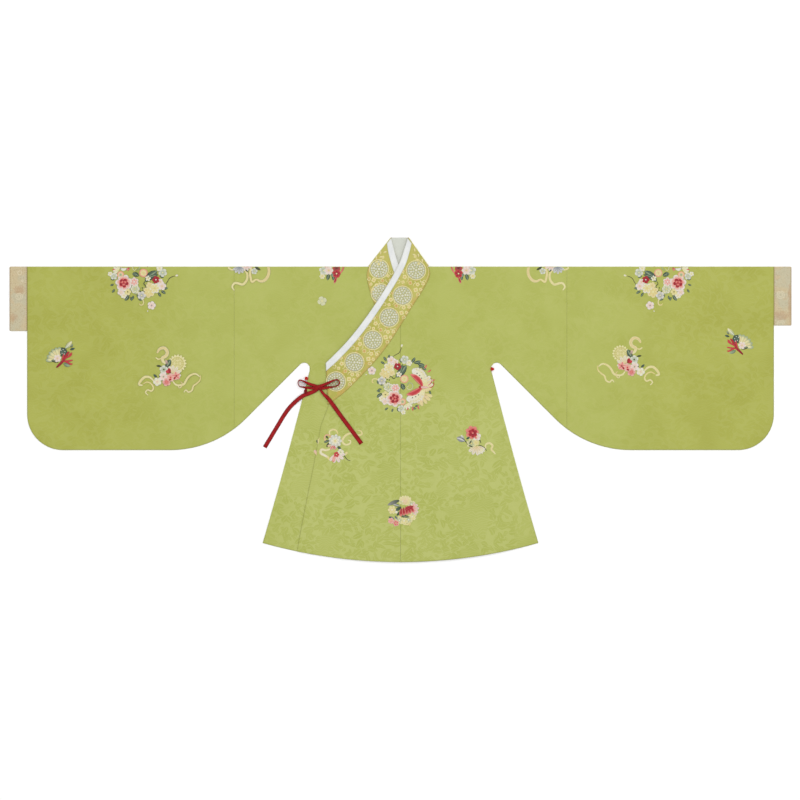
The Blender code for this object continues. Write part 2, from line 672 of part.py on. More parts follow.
def ribbon(name, path, width, lean):
    """A stretch of ribbon along points (x, y, lowest height), flat where its lean is 0, on edge at 90."""
    along = np.gradient(path[:, :2], axis=0)
    along /= np.hypot(along[:, 0], along[:, 1])[:, None]
    side = np.stack([-along[:, 1], along[:, 0]], axis=-1)
    flat, rise = np.cos(lean)[:, None], np.sin(lean)[:, None]
    cross = np.concatenate([side * flat, rise], axis=1)
    facing = np.concatenate([-side * rise, flat], axis=1)
    centre = path.copy()
    centre[:, 2] += CLOTH / 2 * np.abs(flat[:, 0]) + width / 2 * rise[:, 0]
    share = np.array([-0.5, 0.0, 0.5])[None, :, None]
    middle = centre[:, None] + share * (width[:, None] * cross)[:, None]
    wall(name, middle, np.broadcast_to(facing[:, None], middle.shape), "red_ribbon")


def tie():
    """The bow: loops that stand on edge, flat tails, and the knot between them."""
    for name, table in LOOPS.items():
        rows = sections(table)
        ribbon(name, rows[:, :3], np.full(len(rows), LOOP_WIDTH), np.radians(rows[:, 3]))
    for name, table in TAILS.items():
        rows = sections(table)
        ribbon(name, rows[:, :3], rows[:, 3], np.zeros(len(rows)))
    lump("tie_knot", KNOT_AT, KNOT_HALF, 14, 8)


def lump(name, at, half, around, up):
    """A small rounded knot on the under front, pressed flat where it rests."""
    shape = bmesh.new()
    bmesh.ops.create_uvsphere(shape, u_segments=around, v_segments=up, radius=1.0)
    for vert in shape.verts:
        height = max(vert.co.z, -PRESSED) + PRESSED
        vert.co = (
            at[0] + vert.co.x * half[0],
            at[1] + vert.co.y * half[1],
            UNDER_COLLAR_AT + height * half[2],
        )
    add(name, shape, "red_ribbon")


def tacks():
    """The small red knots sewn on at the side seams."""
    for name, at in TACKS.items():
        lump(name, at, TACK_HALF, 10, 6)


def build():
    for piece in list(bpy.data.objects):
        bpy.data.objects.remove(piece, do_unlink=True)
    for half in HALVES:
        body(half)
        sleeve(half)
        cuff(half)
    overlap_outer()
    overlap_under()
    collar()
    collar_lining()
    guards()
    tie()
    tacks()


build()
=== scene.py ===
# %% [markdown]
# # A silk robe with a crossed collar, laid out flat
#
# The robe is cut from two lengths of damask silk, each folded once over the shoulder, so front and back
# are one cloth. Wider stretches are sewn on for the sleeves, a brocade band makes the collar, and red
# ribbons close it at the wearer's right. This file dresses the plain solids of the robe: every panel
# becomes a thin shell of cloth with its own creases, and the embroidery is stitched on as thin raised
# patches. All sizes are metres. X runs along the sleeves, Y from hem to neck, Z up from the floor.

import bpy
import numpy as np
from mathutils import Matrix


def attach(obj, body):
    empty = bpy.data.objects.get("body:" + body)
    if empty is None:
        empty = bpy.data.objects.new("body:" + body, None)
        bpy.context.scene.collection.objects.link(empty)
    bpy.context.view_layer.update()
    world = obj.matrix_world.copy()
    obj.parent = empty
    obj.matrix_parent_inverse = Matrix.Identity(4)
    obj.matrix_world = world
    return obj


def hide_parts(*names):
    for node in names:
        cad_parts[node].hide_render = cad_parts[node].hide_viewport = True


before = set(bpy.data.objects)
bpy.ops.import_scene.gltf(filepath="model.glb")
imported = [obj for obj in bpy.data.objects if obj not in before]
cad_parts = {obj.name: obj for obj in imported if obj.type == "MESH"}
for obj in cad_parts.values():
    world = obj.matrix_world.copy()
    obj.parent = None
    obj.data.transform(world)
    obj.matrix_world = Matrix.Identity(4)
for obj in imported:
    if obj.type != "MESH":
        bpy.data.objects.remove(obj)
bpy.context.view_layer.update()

# %% [markdown]
# ## The camera
#
# The robe is seen from straight above, with the sleeves across the picture. A long lens far away keeps
# the view nearly parallel, so the flat cloth shows without distortion. The height follows from the width
# of floor that the picture has to take in.

# %% The camera
PICTURE_WIDTH = 2.24
PICTURE_CENTRE = (-0.0014, -0.0008)
CLOTH_TOP = 0.005
LENS, SENSOR = 100.0, 36.0

camera_data = bpy.data.cameras.new("camera")
camera_data.lens = LENS
camera_data.sensor_width = SENSOR
camera = bpy.data.objects.new("camera", camera_data)
camera.location = (*PICTURE_CENTRE, PICTURE_WIDTH * LENS / SENSOR + CLOTH_TOP)
bpy.context.scene.collection.objects.link(camera)
bpy.context.scene.camera = camera
print("camera height", round(camera.location.z, 3))

# %% [markdown]
# ## The cut of the robe
#
# These are the robe's own sizes: thickness of a layer, hem, side seams, sleeves and collar. The outline
# is a handful of straight lines and arcs, so each edge is a short formula instead of a list of points.

# %% Sizes of the cut
CLOTH = 0.0011
SEAM = 0.0003
LAYER = CLOTH + SEAM
THIN = 0.0007
UNDER_FRONT_AT = 1 * LAYER
UNDER_COLLAR_AT = 2 * LAYER
OUTER_FRONT_AT = 3 * LAYER
OUTER_COLLAR_AT = 4 * LAYER

SHOULDER_Y = 0.373
HEM_Y = -0.4544
HEM_CORNER = (0.386, -0.4012)
SIDE_TOP = (0.251, 0.0944)
SLEEVE_SEAM_X = 0.466
SLEEVE_END_X = 1.0458
SLEEVE_LOW_Y = -0.1408
SLEEVE_CORNER_R = 0.100
SLEEVE_CURVE_X = 0.6454
SLEEVE_CURVE_R = 0.300
UNDERARM_R = 0.0162
CUFF_END_X = 1.0948
CUFF_CORNER = 0.003
BODY_REACH = 0.09
SLEEVE_REACH = 0.045
HALVES = {
    "left": dict(sign=1, body_air=2 * LAYER, sleeve_air=0.0008, ramp=(0.18, 0.40), cuff_y=0.2078),
    "right": dict(sign=-1, body_air=0.0, sleeve_air=0.0008, ramp=(0.30, 0.42), cuff_y=0.1924),
}
NECKLINES = {
    # half: (x, y) pairs, x measured from the centre
    "left": [(SEAM / 2, 0.225), (0.02, 0.258), (0.04, 0.29), (0.056, 0.315), (0.066, 0.333), (0.07, 0.371)],
    "right": [(SEAM / 2, 0.15), (0.02, 0.187), (0.04, 0.222), (0.06, 0.262), (0.074, 0.305), (0.08, 0.371)],
}


def table(text):
    """Rows of numbers from a text whose first line names the columns: millimetres, or degrees with a d."""
    return np.array([
        [float(word[:-1]) if word.endswith("d") else float(word + "e-3") for word in line.split()]
        for line in text.strip().splitlines()[1:]
    ])


def smooth(value):
    """Rise from 0 to 1, level at both ends: 3 t squared less 2 t cubed, with t held between 0 and 1."""
    held = np.clip(value, 0.0, 1.0)
    return held * held * (3 - 2 * held)


# %% Edges as formulas
SIDE_SLOPE = (HEM_CORNER[0] - SIDE_TOP[0]) / (SIDE_TOP[1] - HEM_CORNER[1])
HEM_R = (HEM_CORNER[0] ** 2 + (HEM_CORNER[1] - HEM_Y) ** 2) / (2 * (HEM_CORNER[1] - HEM_Y))
CURVE_CENTRE_Y = SLEEVE_LOW_Y + SLEEVE_CURVE_R
SLANT_END_X = SLEEVE_CURVE_X - SLEEVE_CURVE_R * np.sqrt(0.5)
SLANT = SLANT_END_X + CURVE_CENTRE_Y - SLEEVE_CURVE_R * np.sqrt(0.5)
SIDE_STEEP = np.sqrt(1 + SIDE_SLOPE**2)
UNDERARM_Y = (
    SLANT - UNDERARM_R * np.sqrt(2) - SIDE_TOP[0] - SIDE_SLOPE * SIDE_TOP[1] - UNDERARM_R * SIDE_STEEP
) / (1 - SIDE_SLOPE)
UNDERARM_X = SLANT - UNDERARM_R * np.sqrt(2) - UNDERARM_Y
UNDERARM_TOP = UNDERARM_Y + UNDERARM_R


def hem_y(x):
    """Height of the hem: one arc of radius HEM_R, lowest at the centre seam."""
    return HEM_Y + HEM_R - np.sqrt(HEM_R**2 - np.asarray(x) ** 2)


def side_x(y):
    """Distance of the side seam from the centre: a straight flare, then the underarm's arc."""
    straight = SIDE_TOP[0] + SIDE_SLOPE * (SIDE_TOP[1] - y)
    arc = UNDERARM_X - np.sqrt(np.clip(UNDERARM_R**2 - (y - UNDERARM_Y) ** 2, 0, None))
    touch = UNDERARM_Y - UNDERARM_R * SIDE_SLOPE / SIDE_STEEP
    return np.where(y > touch, arc, straight)


def sleeve_low_y(x):
    """Underside of the sleeve: underarm arc, slant, wide curve, level stretch, rounded corner."""
    corner_x = SLEEVE_END_X - SLEEVE_CORNER_R
    arc = UNDERARM_Y + np.sqrt(np.clip(UNDERARM_R**2 - (x - UNDERARM_X) ** 2, 0, None))
    curve = CURVE_CENTRE_Y - np.sqrt(np.clip(SLEEVE_CURVE_R**2 - (SLEEVE_CURVE_X - x) ** 2, 0, None))
    corner = SLEEVE_LOW_Y + SLEEVE_CORNER_R - np.sqrt(
        np.clip(SLEEVE_CORNER_R**2 - (x - corner_x) ** 2, 0, None)
    )
    return np.select(
        [x < UNDERARM_X + UNDERARM_R * np.sqrt(0.5), x < SLANT_END_X, x < SLEEVE_CURVE_X, x < corner_x],
        [arc, SLANT - x, curve, SLEEVE_LOW_Y],
        corner,
    )


def sewn_edge(cuff_y):
    """Points of the edge where front and back are sewn: side seam, underside of the sleeve, sleeve end."""
    side = np.linspace(HEM_CORNER[1], UNDERARM_TOP, 30)
    under = UNDERARM_X + (SLEEVE_END_X - UNDERARM_X) * np.sin(np.linspace(0, np.pi / 2, 90))
    x = np.concatenate([side_x(side), under, [SLEEVE_END_X]])
    y = np.concatenate([side, sleeve_low_y(under), [cuff_y]])
    return np.stack([x, y], axis=-1)


def distance(x, y, line):
    """Shortest way from each point to a line of straight pieces, taken one piece at a time."""
    nearest = np.full(np.broadcast(x, y).shape, np.inf)
    for (x0, y0), (x1, y1) in zip(line[:-1], line[1:]):
        run_x, run_y = x1 - x0, y1 - y0
        along = ((x - x0) * run_x + (y - y0) * run_y) / max(run_x**2 + run_y**2, 1e-12)
        held = np.clip(along, 0, 1)
        nearest = np.minimum(nearest, np.hypot(x - x0 - held * run_x, y - y0 - held * run_y))
    return nearest


print("hem radius", round(float(HEM_R), 3), "underarm at", round(float(UNDERARM_X), 4))

# %% [markdown]
# ## Creases
#
# Pressed silk keeps broad soft folds where it lies loose, and short sharp ones where something pulls it:
# at the underarm, and below the tied knot. Each is a rounded ridge or trough along a straight line,
# fading out at both ends. They are listed in tables, uneven in length, height and width.

# %% Tables of creases, a trough with a minus sign
FOLDS = table("""
    start_x start_y end_x end_y height half_width
    300 150 430 320 1.2 24
    520 -40 730 240 1 36
    790 -90 960 170 1.1 32
    600 300 900 315 0.7 22
    165 -380 130 -60 0.9 26
    285 -350 232 -90 1.2 24
    70 -400 65 -230 0.8 22
    -310 160 -420 320 1.2 24
    -500 -30 -690 210 1.1 36
    -770 -80 -985 130 1 34
    -640 305 -860 300 0.7 22
    -105 -390 -85 -170 0.9 24
    -185 -385 -160 -220 1 22
""")
CREASES = {
    "left": table("""
    start_x start_y end_x end_y height half_width
    268 122 312 205 0.4 6.5
    283 108 352 172 -0.3 6
    300 85 392 118 0.3 7
    240 85 212 20 0.4 7
    252 50 246 -60 -0.3 6
    -130.2 45 -140 -10 -0.4 5
    -115 20 -128 -70 0.3 6.5
    -209 -30 -218 -100 0.4 5.5
    -172 -20 -190 -130 -0.3 6
    5 -150 20 -270 0.3 9
    330 -330 300 -240 -0.3 8
    110 330 205 262 0.4 8
    120 290 190 215 -0.3 7
    560 130 660 205 0.3 10
    700 -60 790 10 -0.3 9
    870 50 930 120 0.3 9
    640 235 740 262 -0.2 8
    985 -20 1000 110 0.3 8
    430 90 520 190 0.3 10
    """),
    "right": table("""
    start_x start_y end_x end_y height half_width
    -240.5 12 -239.5 -45 -0.4 4.2
    -250 5 -256 -85 0.4 5
    -262 30 -272 -40 0.3 5
    -272 125 -318 205 0.4 6.5
    -290 108 -350 158 -0.3 6
    -235 100 -190 210 0.3 8
    -250 140 -225 240 -0.3 6.5
    -300 -180 -318 -330 0.3 6
    -110 310 -200 250 0.3 8
    -540 120 -620 220 0.3 10
    -690 -70 -760 20 -0.3 9
    -840 40 -900 150 0.3 9
    -720 250 -830 240 -0.2 8
    -990 -10 -1005 120 0.3 8
    -400 80 -480 180 0.3 10
    """),
}
# The cloth's own unevenness: (waves per metre in x, in y, phase, height)
SLACK = [
    (7.3, 4.1, 0.4, 0.00012),
    (-5.2, 8.7, 1.9, 0.00010),
    (13.1, 9.4, 3.3, 0.00006),
    (-11.7, 15.2, 5.1, 0.00005),
]


def ridges(x, y, table):
    """Sum of soft folds: height times a bell across each line, which fades out towards its two ends."""
    height = np.zeros(np.broadcast(x, y).shape)
    for x0, y0, x1, y1, rise, half_width in table:
        run_x, run_y = x1 - x0, y1 - y0
        along = ((x - x0) * run_x + (y - y0) * run_y) / (run_x**2 + run_y**2)
        held = np.clip(along, 0, 1)
        away = np.hypot(x - x0 - held * run_x, y - y0 - held * run_y)
        height += rise * np.exp(-((away / half_width) ** 2)) * smooth(4 * held * (1 - held))
    return height


def slack(x, y):
    """A few long low waves in different directions: sums of sines."""
    return sum(rise * np.sin(2 * np.pi * (in_x * x + in_y * y) + phase) for in_x, in_y, phase, rise in SLACK)


def creases(x, y, half):
    return ridges(x, y, CREASES[half]) + slack(x, y)


print("folds", len(FOLDS), "creases", {half: len(rows) for half, rows in CREASES.items()})

# %% [markdown]
# ## The height of the cloth
#
# Laid out, the robe is a stack of thin layers: back, under front, under collar, outer front, outer
# collar. One function gives the middle of the front's cloth at any point. It lies on the layer below at
# the sewn edges and rises as the layers under it add up, so what lies on a panel can ask for its height.

# %% Height of the front
OVERLAP_EDGE = table("""
    y x
    190 -23
    147 -53
    94 -98
    55 -131
    20 -172
    -3 -198
    -14.8 -203.2
    -68 -223.4
    -196.8 -247
    -300.4 -267.7
    -425.1 -290.5
""")
OVERLAP_SLOPE_X = (-0.060, -0.204)
CREASE_REACH = 0.02


def front_middle(x, y, half):
    """Middle of the front's cloth: sewn level, plus air and folds that grow away from the seams."""
    spec = HALVES[half]
    reach_from_centre = spec["sign"] * x
    change = smooth((reach_from_centre - spec["ramp"][0]) / (spec["ramp"][1] - spec["ramp"][0]))
    air = spec["body_air"] + (spec["sleeve_air"] - spec["body_air"]) * change
    reach = BODY_REACH + (SLEEVE_REACH - BODY_REACH) * change
    away = distance(reach_from_centre, y, sewn_edge(spec["cuff_y"]))
    shown = 1.0 if half == "left" else smooth((reach_from_centre - spec["ramp"][0]) / 0.03)
    loose = smooth(away / reach) * (air + shown * ridges(x, y, FOLDS))
    return UNDER_FRONT_AT + CLOTH / 2 + loose + smooth(away / CREASE_REACH) * creases(x, y, half)


def overlap_at(x):
    """Underside of the outer overlap: level at the centre seam, then down to the under front."""
    start, end = OVERLAP_SLOPE_X
    return OUTER_FRONT_AT - LAYER * np.clip((x - start) / (end - start), 0, 1)


def overlap_edge_x(y):
    edge_y, edge_x = np.array(OVERLAP_EDGE).T
    return np.interp(-y, -edge_y, edge_x)


def overlap_middle(x, y):
    """Middle of the outer overlap's cloth; folds and creases fade out at its free edge."""
    inside = smooth((x - overlap_edge_x(y)) / 0.06)
    close = smooth((x - overlap_edge_x(y)) / 0.008)
    return overlap_at(x) + CLOTH / 2 + inside * ridges(x, y, FOLDS) + close * creases(x, y, "left")


def top_middle(x, y):
    """Middle of whichever cloth lies on top of the front at each point, the collar left out."""
    covered = (x <= 0) & (x > overlap_edge_x(y)) & (y < OVERLAP_EDGE[0][0])
    right = np.where(covered, overlap_middle(x, y), front_middle(x, y, "right"))
    return np.where(x > 0, front_middle(x, y, "left"), right)


def on_robe(x, v, lift):
    """Points on the robe's outer face. v runs up the front, over the shoulder fold and down the back.

    Past the fold's foot the cloth turns by a half circle whose radius is half the way between the two
    layers, and then runs down again as the back.
    """
    low = CLOTH / 2
    high = top_middle(x, np.full_like(x, SHOULDER_Y))
    radius = (high - low) / 2
    fold_y = SHOULDER_Y - CLOTH / 2 - radius
    past = v - fold_y
    angle = np.clip(past / radius, 0, np.pi)
    y = np.where(past < 0, v, fold_y + radius * np.sin(angle) - np.maximum(past - np.pi * radius, 0))
    z = np.where(past < 0, top_middle(x, np.minimum(v, fold_y)), low + radius * (1 + np.cos(angle)))
    out = np.stack([np.zeros_like(x), np.sin(angle), np.cos(angle)], axis=-1)
    return np.stack([x, y, z], axis=-1) + out * (THIN / 2 + lift)[..., None]


print("cloth on top at the centre", round(float(top_middle(np.array([0.01]), np.array([0.0]))[0]), 4))

# %% [markdown]
# ## From arrays to meshes
#
# Every panel is a grid of points, so its faces follow from the grid's size alone. The mesh is one layer
# of faces, and a Solidify modifier gives it the cloth's thickness on both sides of that layer. Each point
# also keeps its place on the flat cloth, as a UV map in metres, so woven patterns follow the cloth.

# %% Mesh helpers
def grid_faces(rows, columns, cells=None):
    """Four corners of each square of a grid of points, row by row; cells says which squares are cloth."""
    at = np.arange(rows * columns).reshape(rows, columns)
    corners = np.stack([at[:-1, :-1], at[:-1, 1:], at[1:, 1:], at[1:, :-1]], axis=-1)
    return corners[cells] if cells is not None else corners.reshape(-1, 4)


def make_object(name, points, faces, place, material, numbers=(), colours=()):
    """A smooth mesh object from arrays, with a UV map and named numbers or colours on its points."""
    used, faces = np.unique(faces, return_inverse=True)
    faces = faces.reshape(-1, 4)
    mesh = bpy.data.meshes.new(name)
    mesh.from_pydata(points.reshape(-1, 3)[used].tolist(), [], faces.tolist())
    uv = mesh.uv_layers.new(name="cloth")
    uv.data.foreach_set("uv", place.reshape(-1, 2)[used][faces.ravel()].astype(np.float32).ravel())
    for label, values in numbers:
        layer = mesh.attributes.new(label, "FLOAT", "POINT")
        layer.data.foreach_set("value", values.ravel()[used].astype(np.float32))
    for label, values in colours:
        layer = mesh.attributes.new(label, "FLOAT_COLOR", "POINT")
        rgba = np.concatenate([values.reshape(-1, 3)[used], np.ones((len(used), 1))], axis=1)
        layer.data.foreach_set("color", rgba.astype(np.float32).ravel())
    mesh.shade_smooth()
    mesh.materials.append(material)
    piece = bpy.data.objects.new(name, mesh)
    bpy.context.scene.collection.objects.link(piece)
    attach(piece, "root")
    return piece


def thicken(piece, thickness=THIN):
    """Give a one-layer mesh its thickness, half to each side."""
    solidify = piece.modifiers.new("thickness", "SOLIDIFY")
    solidify.thickness = thickness
    solidify.offset = 0.0
    return piece


def marks(length, step, edges=(0.0004, 0.0012, 0.0026)):
    """Shares of a length: even steps, with a few close ones at both ends for pressed edges."""
    near = [0.0, *edges]
    inner = np.linspace(2 * edges[-1], length - 2 * edges[-1], max(2, int(round(length / step))))
    return np.concatenate([near, inner, length - np.array(near[::-1])]) / length


def flat_area(points, faces):
    """Area of a mesh of four-sided faces: half the cross product of each face's diagonals."""
    corner = points.reshape(-1, 3)[faces]
    across = np.cross(corner[:, 2] - corner[:, 0], corner[:, 3] - corner[:, 1])
    return float(np.linalg.norm(across, axis=1).sum() / 2)


def cloth_panel(name, points, faces, place, material, edge, thickness=THIN):
    """A panel of cloth, with how much of the darker colour each point takes (painted shade at its edges), and
    its flat area.
    """
    piece = make_object(name, points, faces, place, material, numbers=[("edge", edge)])
    return thicken(piece, thickness), flat_area(points, faces)


# %% [markdown]
# ## Arithmetic on shader fields
#
# A woven pattern is a formula: distances, angles and waves. Shader nodes can do that arithmetic, one
# node for each step, but a long chain is hard to read. This small class wraps a socket, so that patterns
# can be written as plain expressions, and each expression adds its nodes to the material.

# %% Fields and finishes
LIGHT = 1.165


def dyed(red, green, blue):
    """Base colour that the scene's light shows as this screen colour (0 to 255 each)."""
    share = np.array([red, green, blue]) / 255
    linear = np.where(share <= 0.04045, share / 12.92, ((share + 0.055) / 1.055) ** 2.4)
    return (*(linear / LIGHT), 1.0)


class Field:
    """A number for every point of a surface: a socket of a node tree, with arithmetic on it."""

    def __init__(self, tree, socket):
        self.tree = tree
        self.socket = socket

    def math(self, operation, *others):
        node = self.tree.nodes.new("ShaderNodeMath")
        node.operation = operation
        for socket, value in zip(node.inputs, (self, *others)):
            if isinstance(value, Field):
                self.tree.links.new(value.socket, socket)
            else:
                socket.default_value = value
        return Field(self.tree, node.outputs[0])

    def __add__(self, other):
        return self.math("ADD", other)

    def __sub__(self, other):
        return self.math("SUBTRACT", other)

    def __mul__(self, other):
        return self.math("MULTIPLY", other)

    def __truediv__(self, other):
        return self.math("DIVIDE", other)

    def rise(self, low, high):
        """0 below low, 1 above high, and a smooth step between."""
        node = self.tree.nodes.new("ShaderNodeMapRange")
        node.interpolation_type = "SMOOTHSTEP"
        self.tree.links.new(self.socket, node.inputs["Value"])
        node.inputs["From Min"].default_value = low
        node.inputs["From Max"].default_value = high
        return Field(self.tree, node.outputs["Result"])

    def wave(self, length):
        """A sine that repeats every length."""
        return (self * (2 * np.pi / length)).math("SINE")

    def line(self, at, width):
        """1 where the number equals at, falling to 0 a width away."""
        return Field(self.tree, (self - at).math("ABSOLUTE").socket).rise(width, width * 0.35)


def new_finish(name, roughness, sheen=0.0):
    """A material with its tree and its Principled shader."""
    material = bpy.data.materials.new(name)
    material.use_nodes = True
    shader = material.node_tree.nodes["Principled BSDF"]
    shader.inputs["Roughness"].default_value = roughness
    shader.inputs["Sheen Weight"].default_value = sheen
    shader.inputs["Specular IOR Level"].default_value = 0.3
    return material, material.node_tree, shader


def cloth_place(tree):
    """Two fields: the point's place on the flat cloth, in metres."""
    uv = tree.nodes.new("ShaderNodeUVMap")
    uv.uv_map = "cloth"
    split = tree.nodes.new("ShaderNodeSeparateXYZ")
    tree.links.new(uv.outputs["UV"], split.inputs[0])
    return Field(tree, split.outputs["X"]), Field(tree, split.outputs["Y"])


def number_on_points(tree, label):
    node = tree.nodes.new("ShaderNodeAttribute")
    node.attribute_name = label
    return Field(tree, node.outputs["Fac"])


def joined(x, y):
    """The socket of a vector whose first two numbers are these fields."""
    join = x.tree.nodes.new("ShaderNodeCombineXYZ")
    x.tree.links.new(x.socket, join.inputs["X"])
    x.tree.links.new(y.socket, join.inputs["Y"])
    return join.outputs["Vector"]


def noise(x, y, scale, detail=2.0, distortion=0.0):
    """Smooth unevenness over the cloth, from 0 to 1, with about scale features in a metre."""
    tree = x.tree
    node = tree.nodes.new("ShaderNodeTexNoise")
    tree.links.new(joined(x, y), node.inputs["Vector"])
    node.inputs["Scale"].default_value = scale
    node.inputs["Detail"].default_value = detail
    node.inputs["Distortion"].default_value = distortion
    return Field(tree, node.outputs["Fac"])


def mix(share, first, second):
    """A colour between two, each a tuple or another mix's socket."""
    tree = share.tree
    node = tree.nodes.new("ShaderNodeMix")
    node.data_type = "RGBA"
    tree.links.new(share.socket, node.inputs["Factor"])
    for socket, colour in ((node.inputs[6], first), (node.inputs[7], second)):
        if isinstance(colour, tuple):
            socket.default_value = colour
        else:
            tree.links.new(colour, socket)
    return node.outputs[2]


def colour_cloth(shader, tree, cloth, pressed):
    """The cloth's colour, mixed towards the darker one (pressed) as far as the number "edge" on its points
    says; on the silk, brocades and guards that darker colour is painted shade along pressed edges and seams.
    """
    tree.links.new(mix(number_on_points(tree, "edge"), cloth, pressed), shader.inputs["Base Color"])


def relief(shader, height, depth):
    """Let a field of heights from 0 to 1 tilt the surface, as if it were that deep."""
    tree = height.tree
    node = tree.nodes.new("ShaderNodeBump")
    node.inputs["Distance"].default_value = depth
    tree.links.new(height.socket, node.inputs["Height"])
    tree.links.new(node.outputs["Normal"], shader.inputs["Normal"])


# %% [markdown]
# ## Damask silk
#
# Damask is one colour of silk woven two ways. The figure turns the shiny face of the weave up and the
# ground turns it down, so leaves and water show only as a slight change of tone and gloss. The figure
# here is dense foliage with water lines between. A Voronoi texture scatters points over the cloth and
# gives each its own random number, so one leaf can be drawn at every point, turned its own way.

# %% The damask figure
LEAF_TURN = 2.4


def leaves(x, y, apart, length, width):
    """Lenses at scattered points: share of half width plus squared share of half length is under 1."""
    tree = x.tree
    node = tree.nodes.new("ShaderNodeTexVoronoi")
    node.voronoi_dimensions = "2D"
    node.inputs["Scale"].default_value = 1 / apart
    tree.links.new(joined(x, y), node.inputs["Vector"])
    fields = []
    for output, axis in (("Position", "X"), ("Position", "Y"), ("Color", "X")):
        split = tree.nodes.new("ShaderNodeSeparateXYZ")
        tree.links.new(node.outputs[output], split.inputs[0])
        fields.append(Field(tree, split.outputs[axis]))
    over, up, turn = x - fields[0], y - fields[1], (fields[2] - 0.5) * LEAF_TURN
    cosine, sine = turn.math("COSINE"), turn.math("SINE")
    along = (over * cosine + up * sine) / (length / 2)
    beside = (up * cosine - over * sine) / (width / 2)
    blade = (along * along + beside.math("ABSOLUTE")).rise(1.0, 0.8)
    return blade * (beside.line(0.0, 0.22) * -0.7 + 1.0)


def damask(x, y):
    """The whole figure, 0 on the leaves and 1 on the pale ground and the water lines between them."""
    bend = (noise(x, y, 22.0, 2.0) - 0.5) * 0.030
    large = leaves(x + bend, y + bend * 0.8, 0.023, 0.030, 0.0160)
    small = leaves(x + bend, y - bend + 1.3, 0.014, 0.018, 0.0085)
    grown = noise(x, y + 4.4, 15.0, 2.0)
    drawn = (large * grown.rise(0.36, 0.42)).math("MAXIMUM", small * grown.rise(0.62, 0.50))
    water = (y + x.wave(0.034) * 0.0022 + bend * 1.2).wave(0.0064).rise(0.1, 0.8)
    bare = noise(x + 3.1, y, 11.0, 2.0).rise(0.54, 0.62)
    return (drawn * -1.0 + 1.0) * (bare * -1.0 + 1.0) + (water * 0.5 + 0.25) * bare


# %% Green silk
SILK_SLEEVE = (dyed(168, 171, 69), dyed(175, 179, 80))
SILK_UPPER = (dyed(173, 180, 84), dyed(179, 186, 94))
SILK_BODY = (dyed(172, 180, 85), dyed(180, 187, 97))
SILK_FIGURE = (dyed(184, 188, 101), dyed(194, 200, 120))
SILK_SHADE = dyed(142, 145, 66)


def green_silk():
    """Olive green silk: mottled ground, figure a tone paler, and painted shade where seams press it."""
    material, tree, shader = new_finish("green_silk", 0.52, 0.15)
    x, y = cloth_place(tree)
    body = y.rise(0.22, -0.16) * x.math("ABSOLUTE").rise(0.50, 0.26)
    mottle = noise(x, y, 11.0, 4.0, 0.4).rise(0.30, 0.70)
    figure = damask(x, y)
    outer = x.math("ABSOLUTE").rise(0.50, 0.86)
    upper = mix(outer, mix(mottle, *SILK_UPPER), mix(mottle, *SILK_SLEEVE))
    ground = mix(body, upper, mix(mottle, *SILK_BODY))
    woven = mix(figure * (body * 0.28 + 0.30), ground, mix(body, *SILK_FIGURE))
    slub = noise(x * 0.06, y, 900.0, 1.0).rise(0.4, 0.8)
    threads = mix(slub * 0.10, woven, dyed(160, 166, 84))
    # SILK_SHADE is painted shade along pressed seams, hems and the overlap's free edge, mixed in by the
    # "edge" number.
    colour_cloth(shader, tree, threads, SILK_SHADE)
    gloss = figure * -0.10 + 0.55
    tree.links.new(gloss.socket, shader.inputs["Roughness"])
    weave = x.wave(0.0009) * y.wave(0.0009) * 0.25 + figure * 0.6 + slub * 0.2
    relief(shader, weave, 0.00012)
    return material


GREEN_SILK = green_silk()
print("silk nodes", len(GREEN_SILK.node_tree.nodes))

# %% [markdown]
# ## The body
#
# Each half of the body is one cloth from the front hem, over the shoulder, to the back hem. Its grid has
# columns along the robe and rows up the front, round the shoulder fold and down the back. Rows and columns
# stand close together at hems and seams, where the cloth is pressed down and painted shade makes it a little
# darker.

# %% Pressed edges and their painted shade
STEP = 0.0068
BACK_STEP = 0.014
PRESS_WIDTH = 0.0016
PRESS_DEPTH = 0.0004
SHADE_WIDTH = 0.0030
FAINT = 0.05
FAINT_PRESS = 0.12
TURN = np.radians(np.arange(67.5, -80, -22.5))


def press(away):
    """How far the cloth is pressed down near an edge."""
    return PRESS_DEPTH * smooth(1 - away / PRESS_WIDTH)


def shade(away):
    """How much painted shade a pressed edge gets, from 0 to 1."""
    return 0.75 * smooth(1 - away / SHADE_WIDTH)


def fold_sizes(x, half):
    """For each column: middle of the front at the shoulder, radius of the fold, and y of its foot."""
    high = front_middle(x, np.full_like(x, SHOULDER_Y), half)
    radius = (high - CLOTH / 2) / 2
    return high, radius, SHOULDER_Y - CLOTH / 2 - radius


def lie_flat(x, y, z):
    return np.stack([x, y, np.broadcast_to(z, x.shape)], axis=-1)


def shoulder_turn(x, radius, fold_y):
    """Rows of the shoulder fold: a half circle from the front's middle to the back's, and their place."""
    angle = TURN[:, None]
    y = fold_y + radius * np.cos(angle)
    z = CLOTH / 2 + radius * (1 + np.sin(angle))
    points = np.stack([np.broadcast_to(x, y.shape), y, z], axis=-1)
    return points, fold_y + radius * (np.pi / 2 - angle)


def finished_panel(name, half, grids, places, edges, cells, material):
    """Join groups of rows into one mirrored or unmirrored panel of cloth."""
    sign = HALVES[half]["sign"]
    points = np.concatenate(grids) * np.array([sign, 1.0, 1.0])
    up = np.concatenate([np.broadcast_to(place, grid.shape[:2]) for place, grid in zip(places, grids)])
    place = np.stack([points[..., 0], up], axis=-1)
    edge = np.concatenate([np.broadcast_to(edge, grid.shape[:2]) for edge, grid in zip(edges, grids)])
    faces = grid_faces(*points.shape[:2], cells)
    if sign < 0:
        faces = faces[:, ::-1]
    return cloth_panel(name, points, faces, place, material, edge)


